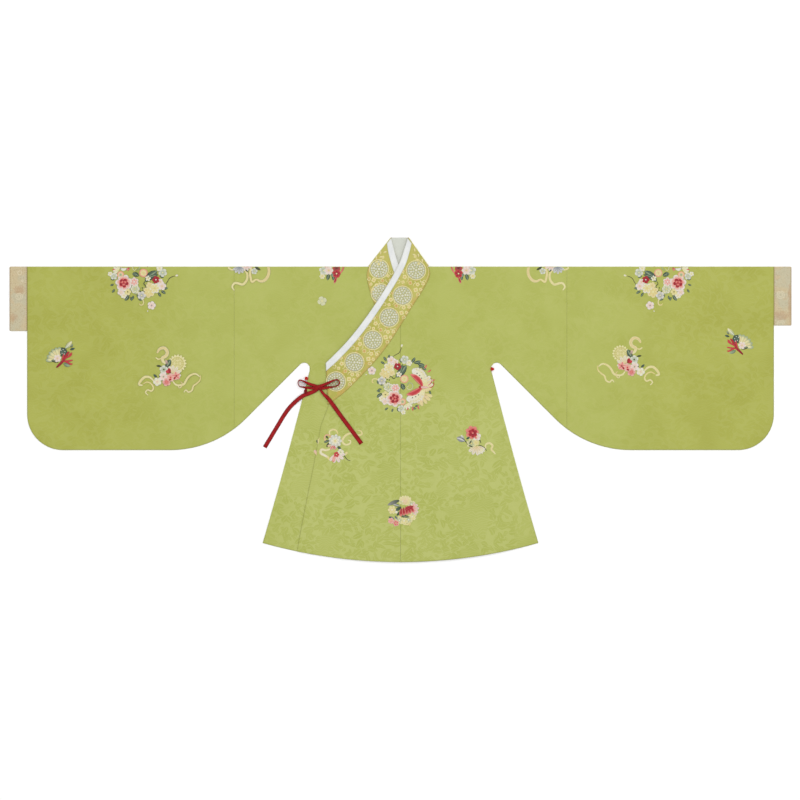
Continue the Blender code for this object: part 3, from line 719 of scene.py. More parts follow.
# %% Both halves of the body
def body(half):
    spec = HALVES[half]
    torso = SEAM / 2 + (UNDERARM_X - SEAM / 2) * marks(UNDERARM_X, STEP)
    arc = UNDERARM_X + UNDERARM_R * np.sin(np.radians([7, 14, 22, 30, 38, 45]))
    root_end = SLEEVE_SEAM_X - SEAM / 2
    root = arc[-1] + (root_end - arc[-1]) * marks(root_end - arc[-1], STEP)[1:]
    columns = np.concatenate([torso, arc, root])
    low = np.where(np.arange(len(columns)) < len(torso), UNDERARM_TOP, sleeve_low_y(columns))
    high, radius, fold_y = fold_sizes(columns, half)
    neck_x, neck_y = np.array(NECKLINES[half]).T
    open_neck = columns < neck_x[-1]
    front_top = np.where(open_neck, np.interp(columns, neck_x, neck_y), fold_y)

    def skirt(down):
        """Columns spread with the flare, rows from the hem's arc up to the underarm."""
        seam = side_x(UNDERARM_TOP - down * (UNDERARM_TOP - HEM_CORNER[1]))
        share = np.minimum((columns - columns[0]) / (UNDERARM_X - columns[0]), 1)
        x = columns[0] + share * (seam - columns[0])
        return x, UNDERARM_TOP - down * (UNDERARM_TOP - hem_y(x))

    def front(x, y):
        """Front height and painted shade, pressed at the centre, the sewn edges, the hem and the sleeve's
        seam.
        """
        away = distance(x, y, sewn_edge(spec["cuff_y"]))
        away = np.minimum(away, np.where(x < HEM_CORNER[0], y - hem_y(np.minimum(x, HEM_CORNER[0])), 1))
        centre, sleeve_seam = x - SEAM / 2, root_end - x
        z = front_middle(x, y, half) - press(away) - 0.3 * press(centre) - FAINT_PRESS * press(sleeve_seam)
        return z, np.maximum(np.maximum(shade(away), 0.2 * shade(centre)), FAINT * shade(sleeve_seam))

    length = UNDERARM_TOP - HEM_CORNER[1]
    down = (1 - marks(length, STEP, (0.0004, 0.0012, 0.0026, 0.005)))[:-1, None]
    x_skirt, y_skirt = skirt(down)
    z_skirt, shade_skirt = front(x_skirt, y_skirt)
    y_front = low + marks(0.3, STEP)[:, None] * (front_top - low)
    x_front = np.broadcast_to(columns, y_front.shape)
    z_front, shade_front = front(x_front, y_front)
    z_front[-1] = np.where(open_neck, z_front[-1], high)
    turned, place_turned = shoulder_turn(columns, radius, fold_y)
    y_back = low + marks(0.3, BACK_STEP)[::-1, None] * (np.where(open_neck, SHOULDER_Y, fold_y) - low)
    x_back = np.broadcast_to(columns, y_back.shape)
    x_tail, y_tail = skirt(down[::-2])
    past_fold = 2 * fold_y + np.pi * radius
    torso_cells = np.arange(len(columns) - 1) < len(torso) - 1
    fold_cells = ~open_neck[:-1]
    every = np.ones(len(columns) - 1, bool)
    cells = np.array(
        [torso_cells] * len(down)
        + [every] * (len(y_front) - 1)
        + [fold_cells] * (len(turned) + 1)
        + [every] * (len(y_back) - 1)
        + [torso_cells] * len(x_tail)
    )
    grids = [lie_flat(x_skirt, y_skirt, z_skirt), lie_flat(x_front, y_front, z_front), turned]
    grids += [lie_flat(x_back, y_back, CLOTH / 2), lie_flat(x_tail, y_tail, CLOTH / 2)]
    places = [y_skirt, y_front, place_turned, past_fold - y_back, past_fold - y_tail]
    edges = [shade_skirt, shade_front, 0.0, 0.0, 0.0]
    return finished_panel(f"silk_body_{half}", half, grids, places, edges, cells, GREEN_SILK)


BODIES = {half: body(half) for half in HALVES}
print("body cloth", {half: round(area, 3) for half, (piece, area) in BODIES.items()})

# %% [markdown]
# ## The sleeves
#
# Each sleeve's outer stretch is one cloth too, folded at the shoulder line and sewn along its rounded
# underside, with a seam to the body and another to the brocade cuff.

# %% Both sleeves
def sleeve(half):
    spec = HALVES[half]
    start = SLEEVE_SEAM_X + SEAM / 2
    corner_x = SLEEVE_END_X - SLEEVE_CORNER_R
    straight = start + (corner_x - start) * marks(corner_x - start, STEP)
    corner = corner_x + SLEEVE_CORNER_R * np.sin(np.radians(np.arange(5, 91, 5)))
    columns = np.concatenate([straight, corner])
    low = sleeve_low_y(columns)
    high, radius, fold_y = fold_sizes(columns, half)
    y_front = low + marks(0.5, STEP)[:, None] * (fold_y - low)
    x_front = np.broadcast_to(columns, y_front.shape)
    away = distance(x_front, y_front, sewn_edge(spec["cuff_y"]))
    away = np.minimum(away, SLEEVE_END_X - x_front)
    z_front = front_middle(x_front, y_front, half) - press(away) - FAINT_PRESS * press(x_front - start)
    z_front[-1] = high
    turned, place_turned = shoulder_turn(columns, radius, fold_y)
    y_back = low + marks(0.5, BACK_STEP)[::-1, None] * (fold_y - low)
    x_back = np.broadcast_to(columns, y_back.shape)
    past_fold = 2 * fold_y + np.pi * radius
    grids = [lie_flat(x_front, y_front, z_front), turned, lie_flat(x_back, y_back, CLOTH / 2)]
    places = [y_front, place_turned, past_fold - y_back]
    # Painted shade along the sewn edges and the sleeve's end, and faintly at the seam to the body.
    edges = [np.maximum(shade(away), FAINT * shade(x_front - start)), 0.0, 0.0]
    return finished_panel(f"silk_sleeve_{half}", half, grids, places, edges, None, GREEN_SILK)


SLEEVES = {half: sleeve(half) for half in HALVES}
print("sleeve cloth", {half: round(area, 3) for half, (piece, area) in SLEEVES.items()})

# %% [markdown]
# ## The overlaps
#
# The front closes to the wearer's right. The outer overlap is sewn on at the centre seam and lies over
# the other front, and its free edge runs from the collar's end down to the hem. Its partner lies hidden
# inside, a little shorter.

# %% Outer and under overlap
UNDER_COLLAR_REACH = 0.018
UNDERLAP_SHORTER = 0.006
UNDERLAP_EDGE = table("""
    y x
    128 15
    85 52
    40 96
    0 142
    -100 160
    -300 185
    -446 200
""")


def overlap_outer():
    top, foot = OVERLAP_EDGE[0][0] + UNDER_COLLAR_REACH, OVERLAP_EDGE[-1][0]
    down = marks(top - foot, STEP)[:, None]
    y_edge = top + down * (foot - top)
    x_edge = overlap_edge_x(y_edge)
    x = x_edge + marks(0.25, STEP) * (-SEAM / 2 - x_edge)
    y = top - down * (top - hem_y(x))
    away = np.minimum((x - x_edge) * 0.97, y - hem_y(x))
    seam = -SEAM / 2 - x
    points = lie_flat(x, y, overlap_middle(x, y) - press(away) - 0.3 * press(seam))
    # Painted shade along the free edge and the hem, and faintly at the centre seam.
    edge = np.maximum(0.7 * shade(away), 0.2 * shade(seam))
    faces = grid_faces(*x.shape)[:, ::-1]
    place = np.stack([x, y], axis=-1)
    return cloth_panel("silk_overlap_outer", points, faces, place, GREEN_SILK, edge)


def overlap_under():
    edge_y, edge_x = np.array(UNDERLAP_EDGE).T
    down = marks(0.57, 2 * STEP)[:, None]
    y_edge = edge_y[0] + down * (edge_y[-1] - edge_y[0])
    x = SEAM / 2 + np.interp(-y_edge, -edge_y, edge_x) * marks(0.2, 2 * STEP)
    y = edge_y[0] - down * (edge_y[0] - hem_y(x) - UNDERLAP_SHORTER)
    points = lie_flat(x, y, UNDER_FRONT_AT + CLOTH / 2)
    faces = grid_faces(*x.shape)[:, ::-1]
    place = np.stack([x, y], axis=-1)
    return cloth_panel("silk_overlap_under", points, faces, place, GREEN_SILK, 0 * x)


OVERLAP_OUTER, OVERLAP_OUTER_AREA = overlap_outer()
OVERLAP_UNDER, OVERLAP_UNDER_AREA = overlap_under()
print("overlaps", round(OVERLAP_OUTER_AREA, 3), round(OVERLAP_UNDER_AREA, 3))

# %% [markdown]
# ## Brocade and plain cloth
#
# The collar is brocade: an olive gold ground with fine ribs, warmed by orange patches where coloured
# threads are brocaded in. The cuffs are an older, paler brocade, and the guard is bleached plain cloth.
# Their raised motifs are stitched on later, so the materials only need ground, weave and painted shade at the
# edges.

# %% Finishes of collar, cuffs and guard
def collar_brocade():
    material, tree, shader = new_finish("collar_brocade", 0.45, 0.1)
    x, y = cloth_place(tree)
    patch = noise(x, y, 24.0, 2.0, 0.5)
    ground = mix(patch.rise(0.40, 0.60), dyed(178, 174, 74), dyed(190, 184, 92))
    warm = mix(noise(x + 5.3, y, 34.0, 1.0).rise(0.58, 0.72) * 0.55, ground, dyed(210, 168, 78))
    ribs = x.wave(0.0016).rise(-0.6, 0.9)
    woven = mix(ribs * 0.16, warm, dyed(205, 198, 120))
    # The second colour is painted shade for the collar's pressed edges.
    colour_cloth(shader, tree, woven, dyed(168, 128, 62))
    relief(shader, ribs * 0.6 + noise(x, y, 700.0, 1.0) * 0.5, 0.00015)
    return material


CUFF_RINGS = table("""
    x down_from_fold radius
    -1066.8 -17.5 5.5
    -1059.8 -40 2.6
    -1068 -84 9
    -1068 -84 4.8
    1065 -79 10.5
    1065 -79 5.8
    1066 -160 9.5
    1066 -160 5
""")
CUFF_CLOUDS = table("""
    x down_from_fold half_width half_height
    -1067 -66 18 13
    -1084 -143 12 12
    1066 -138 22 14
    1090 -100 5 60
""")


def cuff_brocade():
    """Beige ground in warm and cool tones, brown clouds and cream rings, and a row of stitches."""
    material, tree, shader = new_finish("cuff_brocade", 0.50, 0.1)
    x, y = cloth_place(tree)
    cool = mix(noise(x, y, 20.0, 2.0, 0.4).rise(0.40, 0.60), dyed(204, 187, 148), dyed(197, 189, 158))
    tint = mix(noise(x + 2.0, y, 26.0, 2.0).rise(0.55, 0.70) * 0.6, cool, dyed(208, 180, 138))
    broken = noise(x, y, 120.0, 2.0) - 0.5
    for at_x, at_y, wide, tall in CUFF_CLOUDS:
        over, up = (x - at_x) / wide, (y - at_y) / tall
        near = (over * over + up * up + broken * 2.2).rise(1.2, 0.3)
        tint = mix(near * 0.6, tint, dyed(186, 152, 116))
    for at_x, at_y, radius in CUFF_RINGS:
        over, up = x - at_x, y - at_y
        reach = (over * over + up * up).math("SQRT") + broken * 0.0016
        tint = mix(reach.line(radius, 0.0016) * 0.7, tint, dyed(224, 212, 180))
    figure = (x + y.wave(0.021) * 0.003).wave(0.0125) * (y - x.wave(0.016) * 0.004).wave(0.0145)
    woven = mix(figure.rise(0.25, 0.55) * 0.22, tint, dyed(222, 210, 178))
    speck = mix(noise(x, y, 260.0, 1.0).rise(0.58, 0.70) * 0.5, woven, dyed(164, 136, 108))
    reach = x.math("ABSOLUTE") - SLEEVE_END_X
    rows = reach.line(0.0022, 0.0007).math("MAXIMUM", reach.line(0.0468, 0.0007))
    stitches = rows * y.wave(0.0062).rise(0.0, 0.5)
    stitched = mix(stitches * 0.6, speck, dyed(132, 98, 76))
    # The second colour is painted shade for the cuff's pressed edges.
    colour_cloth(shader, tree, stitched, dyed(166, 138, 96))
    relief(shader, figure.rise(0.25, 0.55) * 0.7 + y.wave(0.0014) * 0.3, 0.00015)
    return material


def plain_cloth():
    material, tree, shader = new_finish("white_cloth", 0.65)
    x, y = cloth_place(tree)
    tone = mix(noise(x, y, 30.0, 3.0).rise(0.35, 0.65), dyed(228, 230, 229), dyed(238, 239, 236))
    # The second colour is painted shade at the guards' pressed edges; the neck lining takes 0.55 of it all
    # over, for its grey.
    colour_cloth(shader, tree, tone, dyed(193, 197, 176))
    relief(shader, x.wave(0.0008) * y.wave(0.0008) * 0.5 + 0.5, 0.00010)
    return material


COLLAR_BROCADE = collar_brocade()
CUFF_BROCADE = cuff_brocade()
WHITE_CLOTH = plain_cloth()

# %% [markdown]
# ## The cuffs
#
# A cuff is a flat tube: the band goes up the front, round the fold at its top, down the back and round
# the fold at its foot. Both folds are half circles between the two layers.

# %% Both cuffs
def cuff(half):
    spec = HALVES[half]
    start = SLEEVE_END_X + SEAM
    x = start + (CUFF_END_X - start) * marks(CUFF_END_X - start, 0.003, (0.0005, 0.0012, 0.002))
    near_end = np.clip((x - (CUFF_END_X - CUFF_CORNER)) / CUFF_CORNER, 0, 1)
    inset = CUFF_CORNER * (1 - np.sqrt(1 - (0.95 * near_end) ** 2))
    low = CLOTH / 2
    high = UNDER_FRONT_AT + spec["sleeve_air"] + CLOTH / 2 + 0.3 * slack(x * 6, x * 0)
    radius = (high - low) / 2
    inside = CLOTH / 2 + radius
    top, foot = SHOULDER_Y - inset - inside, spec["cuff_y"] + inset + inside
    angle = np.radians(np.arange(90, -91, -22.5))[:, None]
    share = marks(0.165, 0.003, (0.001, 0.002))[1:-1, None]
    over_y, over_z = top + radius * np.cos(angle), low + radius * (1 + np.sin(angle))
    under_y, under_z = foot - radius * np.cos(angle), low + radius * (1 + np.sin(angle))
    up, down = foot + share * (top - foot), top + share * (foot - top)
    y = np.concatenate([under_y[:1], up, over_y, down, under_y[::-1]])
    level = np.ones_like(share * x)
    z = np.concatenate([under_z[:1], level * high, over_z, level * low, under_z[::-1]])
    away = np.minimum(x - start, CUFF_END_X - x)
    z -= press(away) * np.sign(z - low - radius)
    points = np.stack([np.broadcast_to(x, y.shape) * spec["sign"], y, z], axis=-1)
    run = np.hypot(np.diff(y, axis=0), np.diff(z, axis=0)).cumsum(axis=0)
    around = np.concatenate([np.zeros((1, len(x))), run])
    crown = 1 + len(share) + len(over_y) // 2
    place = np.stack([points[..., 0], around - around[crown]], axis=-1)
    faces = grid_faces(*y.shape)
    if spec["sign"] < 0:
        faces = faces[:, ::-1]
    # Painted shade at both ends of the cuff, by its seam and by its open end.
    edge = np.broadcast_to(shade(away), y.shape)
    return cloth_panel(f"brocade_cuff_{half}", points, faces, place, CUFF_BROCADE, edge)


CUFFS = {half: cuff(half) for half in HALVES}
print("cuff cloth", {half: round(area, 4) for half, (piece, area) in CUFFS.items()})

# %% [markdown]
# ## The collar
#
# The collar is one long band: up the outer arm, round behind the neck and down the arm below. A short
# table gives a few cross-lines of it, from its seam to its folded edge, and a cubic curve fills in the
# lines between. The white guard is a folded strip that follows the outer fifth of the band.

# %% Cross-lines of the collar: the outer arm up to the neck, the under arm down from it
OUTER_ARM = table("""
    seam_x seam_y crease_x crease_y
    -203.8 -14.8 -209.4 102.5
    -150 27 -185 126.2
    -84 94.1 -148 165
    -40 147 -108 214.8
    0 207.2 -69 270
    31.6 259 -39 317.2
    61 305 -17 355.5
    78.4 337.4 -0.5 389
    82.6 356 10 420
    79 375.7 23.2 454.4
""")
COLLAR_BACK = (-0.0050, 0.3736, -0.0020, 0.4522)
UNDER_ARM = table("""
    seam_x seam_y crease_x crease_y
    -90 374.9 -27.7 454.4
    -94.6 350 -20 428
    -90.5 322 -11 396
    -82.3 292.9 0 364
    -70 262 18 327
    -40 205 48 270
    0 135 85 195
    50 72 120 135
    95 25 152 85
""")
GUARD_FROM = 0.81
UNDER_GUARD_ROWS = 5
LINING = table("""
    y left_x right_x
    340 -30 30
    372 -58 52
    400 -62 52
    425 -44 36
    450.5 -26.2 21.2
    453.8 -26.2 21.2
""")


def curve_through(table, steps):
    """Rows between a table's rows: the cubic that leaves each along the line from row before to row after."""
    rows = np.array(table, float)
    slope = np.gradient(rows, axis=0)
    t = (np.arange(steps) / steps)[None, :, None]
    start, end = rows[:-1, None], rows[1:, None]
    leave, arrive = slope[:-1, None], slope[1:, None]
    between = (2 * t**3 - 3 * t**2 + 1) * start + (t**3 - 2 * t**2 + t) * leave
    between = between + (3 * t**2 - 2 * t**3) * end + (t**3 - t**2) * arrive
    return np.concatenate([between.reshape(-1, rows.shape[1]), rows[-1:]])


def across(rows, share):
    """Points (x, y) of cross-lines at shares of the way from seam to crease."""
    return rows[:, None, :2] + share[None, :, None] * (rows[:, None, 2:] - rows[:, None, :2])


def outer_arm_at(x):
    """Underside of the outer arm: one layer above the overlap that it is sewn to."""
    return overlap_at(x) + LAYER


def fold_direction(row):
    """The way (x, y) that the collar's fold at the side of the neck points, square to the folded edge."""
    run = np.array([row[2] - row[0], row[3] - row[1]])
    out = np.array([run[1], -run[0]]) / np.hypot(*run)
    return out * np.sign(out[0] * row[0])


def arm_before_fold(table, row, high, steps):
    """An arm's cross-lines, the one at the fold moved in by the room that the half turn takes."""
    inset = fold_direction(table[row]) * ((high - CLOTH / 2) / 2 + CLOTH / 2)
    moved = np.array(table, float)
    moved[row] -= np.tile(inset, 2)
    return curve_through(moved, steps)


def collar_turn(row, share, high):
    """Rows of the collar's fold beside the neck, from the arm's layer down to the back's."""
    radius = (high - CLOTH / 2) / 2
    out = fold_direction(row)
    line = across(np.array([row], float), share)[0] - out * (radius + CLOTH / 2)
    angle = TURN[:, None, None]
    level = np.zeros((1, len(share), 1))
    flat = line + out * radius * np.cos(angle) + 0 * level
    return np.concatenate([flat, CLOTH / 2 + radius * (1 + np.sin(angle)) + level], axis=-1)


# %% The collar band
ARM_STEPS = 9
OUTER_ROWS = arm_before_fold(OUTER_ARM, -1, OUTER_COLLAR_AT + CLOTH / 2, ARM_STEPS)
UNDER_ROWS = arm_before_fold(UNDER_ARM, 0, UNDER_COLLAR_AT + CLOTH / 2, ARM_STEPS)


def collar():
    share = marks(0.097, 0.0045, (0.0005, 0.0012, 0.0022))
    outer, under = across(OUTER_ROWS, share), across(UNDER_ROWS, share)
    outer = lie_flat(outer[..., 0], outer[..., 1], outer_arm_at(outer[..., 0]) + CLOTH / 2)
    under = lie_flat(under[..., 0], under[..., 1], UNDER_COLLAR_AT + CLOTH / 2)
    first = collar_turn(OUTER_ARM[-1], share, OUTER_COLLAR_AT + CLOTH / 2)
    second = collar_turn(UNDER_ARM[0], share, UNDER_COLLAR_AT + CLOTH / 2)[::-1]
    back = across(np.array([OUTER_ARM[-1], COLLAR_BACK, UNDER_ARM[0]]), share)
    part = np.linspace(0.02, 0.98, 25)[:, None, None]
    first_half = back[0] + 2 * part * (back[1] - back[0])
    back = np.where(part < 0.5, first_half, back[1] + (2 * part - 1) * (back[2] - back[1]))
    back = lie_flat(back[..., 0], back[..., 1], CLOTH / 2)
    points = np.concatenate([outer, first, back, second, under])
    width = np.linalg.norm(points[:, -1] - points[:, 0], axis=-1)[:, None]
    middle = points[:, len(share) // 2]
    along = np.concatenate([[0], np.linalg.norm(np.diff(middle, axis=0), axis=1).cumsum()])[:, None]
    away = np.minimum(share, 1 - share) * width
    away = np.minimum(away, np.minimum(along, along[-1] - along) + 0.0006)
    points[: len(outer), :, 2] -= press(away[: len(outer)])
    place = np.stack([np.broadcast_to(along, away.shape), share * width], axis=-1)
    faces = grid_faces(*away.shape)
    # shade(away): painted shade along the collar's seam, its folded edge and its ends.
    panel = cloth_panel("brocade_collar", points, faces[:, ::-1], place, COLLAR_BROCADE, shade(away))
    return *panel, float(along[-1, 0])


COLLAR, COLLAR_AREA, COLLAR_LENGTH = collar()
print("collar length", round(COLLAR_LENGTH, 3), "area", round(COLLAR_AREA, 3))

# %% [markdown]
# ## Guard and inside of the neck
#
# The guard is a strip of white cloth folded lengthwise round the collar's edge. It is a little domed
# between its two pressed edges. The plain lining shows only inside the neck.

# %% Guards and lining
GUARD_DOME = 0.0003


def guard(name, rows, underside):
    share = GUARD_FROM + (1 - GUARD_FROM) * marks(0.0185, 0.003, (0.0004, 0.001, 0.0016))
    flat = across(rows, share)
    through = (share - GUARD_FROM) / (1 - GUARD_FROM)
    run = np.linalg.norm(np.diff(flat[:, 0], axis=0), axis=1)
    along = np.concatenate([[0], run.cumsum()])[:, None]
    width = np.linalg.norm(flat[:, -1] - flat[:, 0], axis=-1)[:, None]
    away = np.minimum(through, 1 - through) * width
    away = np.minimum(away, np.minimum(along, along[-1] - along) + 0.0004)
    dome = GUARD_DOME * np.sin(np.pi * through) + 0.00012 * np.sin(along * 55) * smooth(through / 0.3)
    points = lie_flat(flat[..., 0], flat[..., 1], underside(flat[..., 0]) + CLOTH / 2 + dome - press(away))
    place = np.stack([np.broadcast_to(along, away.shape), through * width], axis=-1)
    faces = grid_faces(*away.shape)
    # Painted shade along the guard's two pressed edges and its ends.
    edge = 0.6 * shade(away)
    panel = cloth_panel(name, points, faces[:, ::-1], place, WHITE_CLOTH, edge, CLOTH * 0.9)
    return *panel, float(along[-1, 0])


def collar_lining():
    rows = curve_through(LINING, 8)
    share = np.linspace(0, 1, 24)
    x = rows[:, 1:2] + share * (rows[:, 2:3] - rows[:, 1:2])
    y = np.broadcast_to(rows[:, :1], x.shape)
    hollow = 0.00015 * np.cos(x * 90) * np.sin(y * 60)
    points = lie_flat(x, y, UNDER_FRONT_AT + CLOTH / 2 + hollow)
    faces = grid_faces(*x.shape)
    place = np.stack([x, y], axis=-1)
    dim = np.full(x.shape, 0.55)
    return cloth_panel("neck_lining", points, faces, place, WHITE_CLOTH, dim)


GUARD_OUTER, GUARD_OUTER_AREA, GUARD_OUTER_LENGTH = guard(
    "guard_outer_strip", OUTER_ROWS, lambda x: outer_arm_at(x) + LAYER
)
UNDER_GUARD = UNDER_ROWS[: (UNDER_GUARD_ROWS - 1) * ARM_STEPS + 1]
GUARD_UNDER, GUARD_UNDER_AREA, GUARD_UNDER_LENGTH = guard(
    "guard_under_strip", UNDER_GUARD, lambda x: UNDER_COLLAR_AT + LAYER
)
NECK_LINING, NECK_LINING_AREA = collar_lining()
print("guards", round(GUARD_OUTER_LENGTH, 3), round(GUARD_UNDER_LENGTH, 3))

# %% [markdown]
# ## Embroidery: one stitched area
#
# Silk embroidery is flat areas of long stitches, each area one petal, leaf or strand, laid over the ones
# below. Flowers are areas turned about a point. Motifs are drawn in millimetres about their own middle
# and laid on the robe at the end.

# %% Threads and areas
def thread(red, green, blue):
    return np.array(dyed(red, green, blue)[:3])


RED, DEEP_RED = thread(190, 34, 46), thread(140, 18, 34)
ROSE, CORAL, BLUSH = thread(216, 70, 76), thread(238, 145, 130), thread(240, 198, 182)
WHITE, CREAM, GOLD = thread(238, 236, 224), thread(236, 228, 170), thread(229, 214, 138)
PEACH, SAGE, GREY = thread(228, 204, 146), thread(160, 178, 140), thread(158, 158, 150)
DARK_LEAF, SLATE, OLIVE = thread(48, 66, 46), thread(84, 106, 88), thread(84, 84, 40)
BLUE_GREY, STEM, DULL_GOLD = thread(132, 140, 150), thread(74, 66, 44), thread(204, 196, 116)
PUFF = 0.24
STITCH = 0.13
LOWEST = 0.10
SUNK = -0.12
OUTLINE_AND_GAP_SHADE = 0.9
SIDES = np.array([-1.0, -0.72, -0.3, 0.0, 0.3, 0.72, 1.0])
ROWS = (1 - np.cos(np.linspace(0, np.pi, 9))) / 2


def blend(share, first, second):
    return first + np.asarray(share)[..., None] * (second - first)


def raised(dome, layer):
    """Height in millimetres: a dome on its layer, with the rim sunk into the cloth."""
    return np.where(dome > 1e-6, LOWEST + layer * STITCH + dome * PUFF, SUNK)


def area(centre, half, base, tip, rim=None, vein=None, stripe=None, layer=0.0):
    """A stitched area about a centre line, half as wide as given; its colour runs from base to tip."""
    along = np.gradient(centre, axis=0)
    along /= np.linalg.norm(along, axis=1)[:, None]
    side = np.stack([-along[:, 1], along[:, 0]], axis=-1)
    out = half[:, None] * SIDES
    xy = centre[:, None] + out[..., None] * side[:, None]
    run = np.concatenate([[0], np.linalg.norm(np.diff(centre, axis=0), axis=1).cumsum()])[:, None]
    run = np.broadcast_to(run, out.shape)
    share, t = run / run[-1], np.broadcast_to(np.abs(SIDES), out.shape)
    colour = blend(share, base, tip)
    if stripe is not None:
        colour = blend((t > 0.2) & (t < 0.5), colour, stripe)
    if vein is not None:
        colour = blend(smooth(1 - t / 0.3), colour, vein)
    if rim is not None:
        colour = blend(smooth((np.maximum(t, 2 * share - 1) - 0.5) / 0.3), colour, rim)
    # The outermost rim of each area is darkened to a quarter of its colour: partly a dark outline stitch,
    # partly painted shade in the gaps between areas.
    colour = blend(OUTLINE_AND_GAP_SHADE * (t > 0.9), colour, 0.25 * colour)
    dome = np.sqrt(1 - t**2) * np.sqrt(np.maximum(half, 0.01) / max(half.max(), 0.01))[:, None]
    dome[[0, -1]] = 0
    return xy, raised(dome, layer), colour, np.stack([run, out], axis=-1)


def leaf(at, length, width, turn, base, tip, bend=0.0, skew=1.0, sharp=1.6, **paint):
    """A leaf from its root: the half width is an ellipse's, pinched by sharp and moved by skew."""
    heading = np.radians(turn + bend * (ROWS - 0.5))
    middle = (heading[1:] + heading[:-1]) / 2
    step = (np.diff(ROWS) * length)[:, None] * np.stack([np.cos(middle), np.sin(middle)], axis=-1)
    centre = np.array(at, float) + np.concatenate([[[0.0, 0.0]], step.cumsum(axis=0)])
    half = width / 2 * np.maximum(1 - (2 * ROWS**skew - 1) ** 2, 0) ** (sharp / 2)
    return [area(centre, half, base, tip, **paint)]


def petal(at, length, width, turn, base, tip, **paint):
    """A leaf with a round end, widest two thirds of the way out."""
    return leaf(at, length, width, turn, base, tip, skew=1.6, sharp=1.0, **paint)


def strand(path, width, base, tip, ends=0.35, **paint):
    """A ribbon or stem along a smooth curve through a few points, narrower at both ends."""
    centre = curve_through(path, 5)
    share = np.linspace(0, 1, len(centre))
    half = width / 2 * (ends + (1 - ends) * np.sqrt(np.sin(np.pi * share)))
    return [area(centre, half, base, tip, **paint)]


def disc(at, radius, base, tip, layer=0.0, points=0, tooth=0.0, lattice=None):
    """A round area from rings about its middle; points and tooth give it a pointed edge."""
    share = np.linspace(0, 1, 8 if lattice is not None else 4)[:, None]
    angle = np.linspace(0, 2 * np.pi, (6 if tooth > 0.2 else 4) * max(points, 4) + 1)
    edge = 1 + tooth * (np.abs(np.cos(angle * points / 2)) - 1)
    x, y = radius * share * edge * np.cos(angle), radius * share * edge * np.sin(angle)
    colour = blend(np.broadcast_to(share, x.shape) ** 2, base, tip)
    if lattice is not None:
        lines = (np.abs(np.sin(x * 0.75)) < 0.5) | (np.abs(np.sin(y * 0.75)) < 0.4)
        colour = blend(lines & (share < 0.8), colour, lattice)
    dome = np.broadcast_to(np.sqrt(np.maximum(1 - share**4, 0)), x.shape)
    xy = np.stack([x + at[0], y + at[1]], axis=-1)
    return [(xy, raised(dome, layer), colour, np.stack([x, y], axis=-1))]


def dots(places, radius, colour, layer=1.0):
    return [area for at in places for area in disc(at, radius, colour, colour, layer)]


# %% [markdown]
# ## Embroidery: flowers and wings
#
# A blossom is a ring of equal petals and a heart. A peony is a few such rings, pale outside and deep red
# inside, each ring higher than the last. A motif is then written as a table: one shape on each line, with
# its place in millimetres, its sizes and its threads, from the bottom layer up.

# %% Flowers from areas
def blossom(at, radius, count, base, tip, heart, turn=0.0, layer=1.0, **paint):
    width = 1.7 * radius * np.sin(np.pi / count)
    parts = []
    for k in range(count):
        lifted = layer + 0.35 * (k % 2)
        parts += petal(at, radius, width, turn + 360 * k / count, base, tip, layer=lifted, **paint)
    return parts + disc(at, 0.24 * radius, heart, heart, layer + 1.2)


def peony(at, radius, turn=0.0, layer=1.0):
    parts = blossom(at, radius, 7, CORAL, BLUSH, ROSE, turn, layer, rim=WHITE)
    parts += blossom(at, 0.76 * radius, 6, ROSE, CORAL, RED, turn + 25, layer + 1, rim=BLUSH)
    parts += blossom(at, 0.56 * radius, 5, DEEP_RED, RED, RED, turn + 8, layer + 2, vein=DEEP_RED)
    parts += blossom(at, 0.30 * radius, 3, ROSE, CORAL, DEEP_RED, turn + 40, layer + 3)
    return parts


def lily(at, size, turn, tint=BLUSH, layer=1.0):
    """A flower seen from its side: five narrow petals spread as a fan from one root."""
    parts = []
    for k, angle in enumerate((-64, 64, -34, 34, 0)):
        lifted = layer + 0.3 * k
        parts += petal(at, size, 0.42 * size, turn + angle, tint, WHITE, layer=lifted, vein=tint)
    return parts


def wing(at, length, turn, bend, layer=1.0):
    """A butterfly's wing, cream with a scalloped rim, and a wide red crescent along its inner side."""
    side = -np.sign(bend)
    ahead = np.array([np.cos(np.radians(turn)), np.sin(np.radians(turn))])
    out = np.array([-ahead[1], ahead[0]]) * side
    root = np.array(at, float)
    outer = root + 0.10 * length * out
    parts = leaf(outer, length, 0.56 * length, turn, CREAM, WHITE, bend=bend, sharp=1.0, layer=layer)
    for k in range(6):
        spot = root + (0.14 + 0.14 * k) * length * ahead + (0.20 + 0.10 * np.sin(0.55 * k)) * length * out
        fanned = turn + side * (60 + 12 * k)
        parts += petal(spot, 0.19 * length, 0.17 * length, fanned, GOLD, WHITE, layer=layer + 0.5)
    inner = root - 0.10 * length * out
    parts += leaf(inner, 0.90 * length, 0.32 * length, turn, ROSE, RED, bend=bend, layer=layer + 1, rim=CORAL)
    start = inner + 0.08 * length * ahead
    parts += leaf(start, 0.74 * length, 0.12 * length, turn, RED, ROSE, bend=bend, layer=layer + 2)
    for k in range(3):
        spot = root + (0.34 + 0.16 * k) * length * ahead + (0.17 + 0.02 * (k == 1)) * length * out
        parts += disc(spot, 2.3, SLATE, DARK_LEAF, layer + 2.0)
    return parts


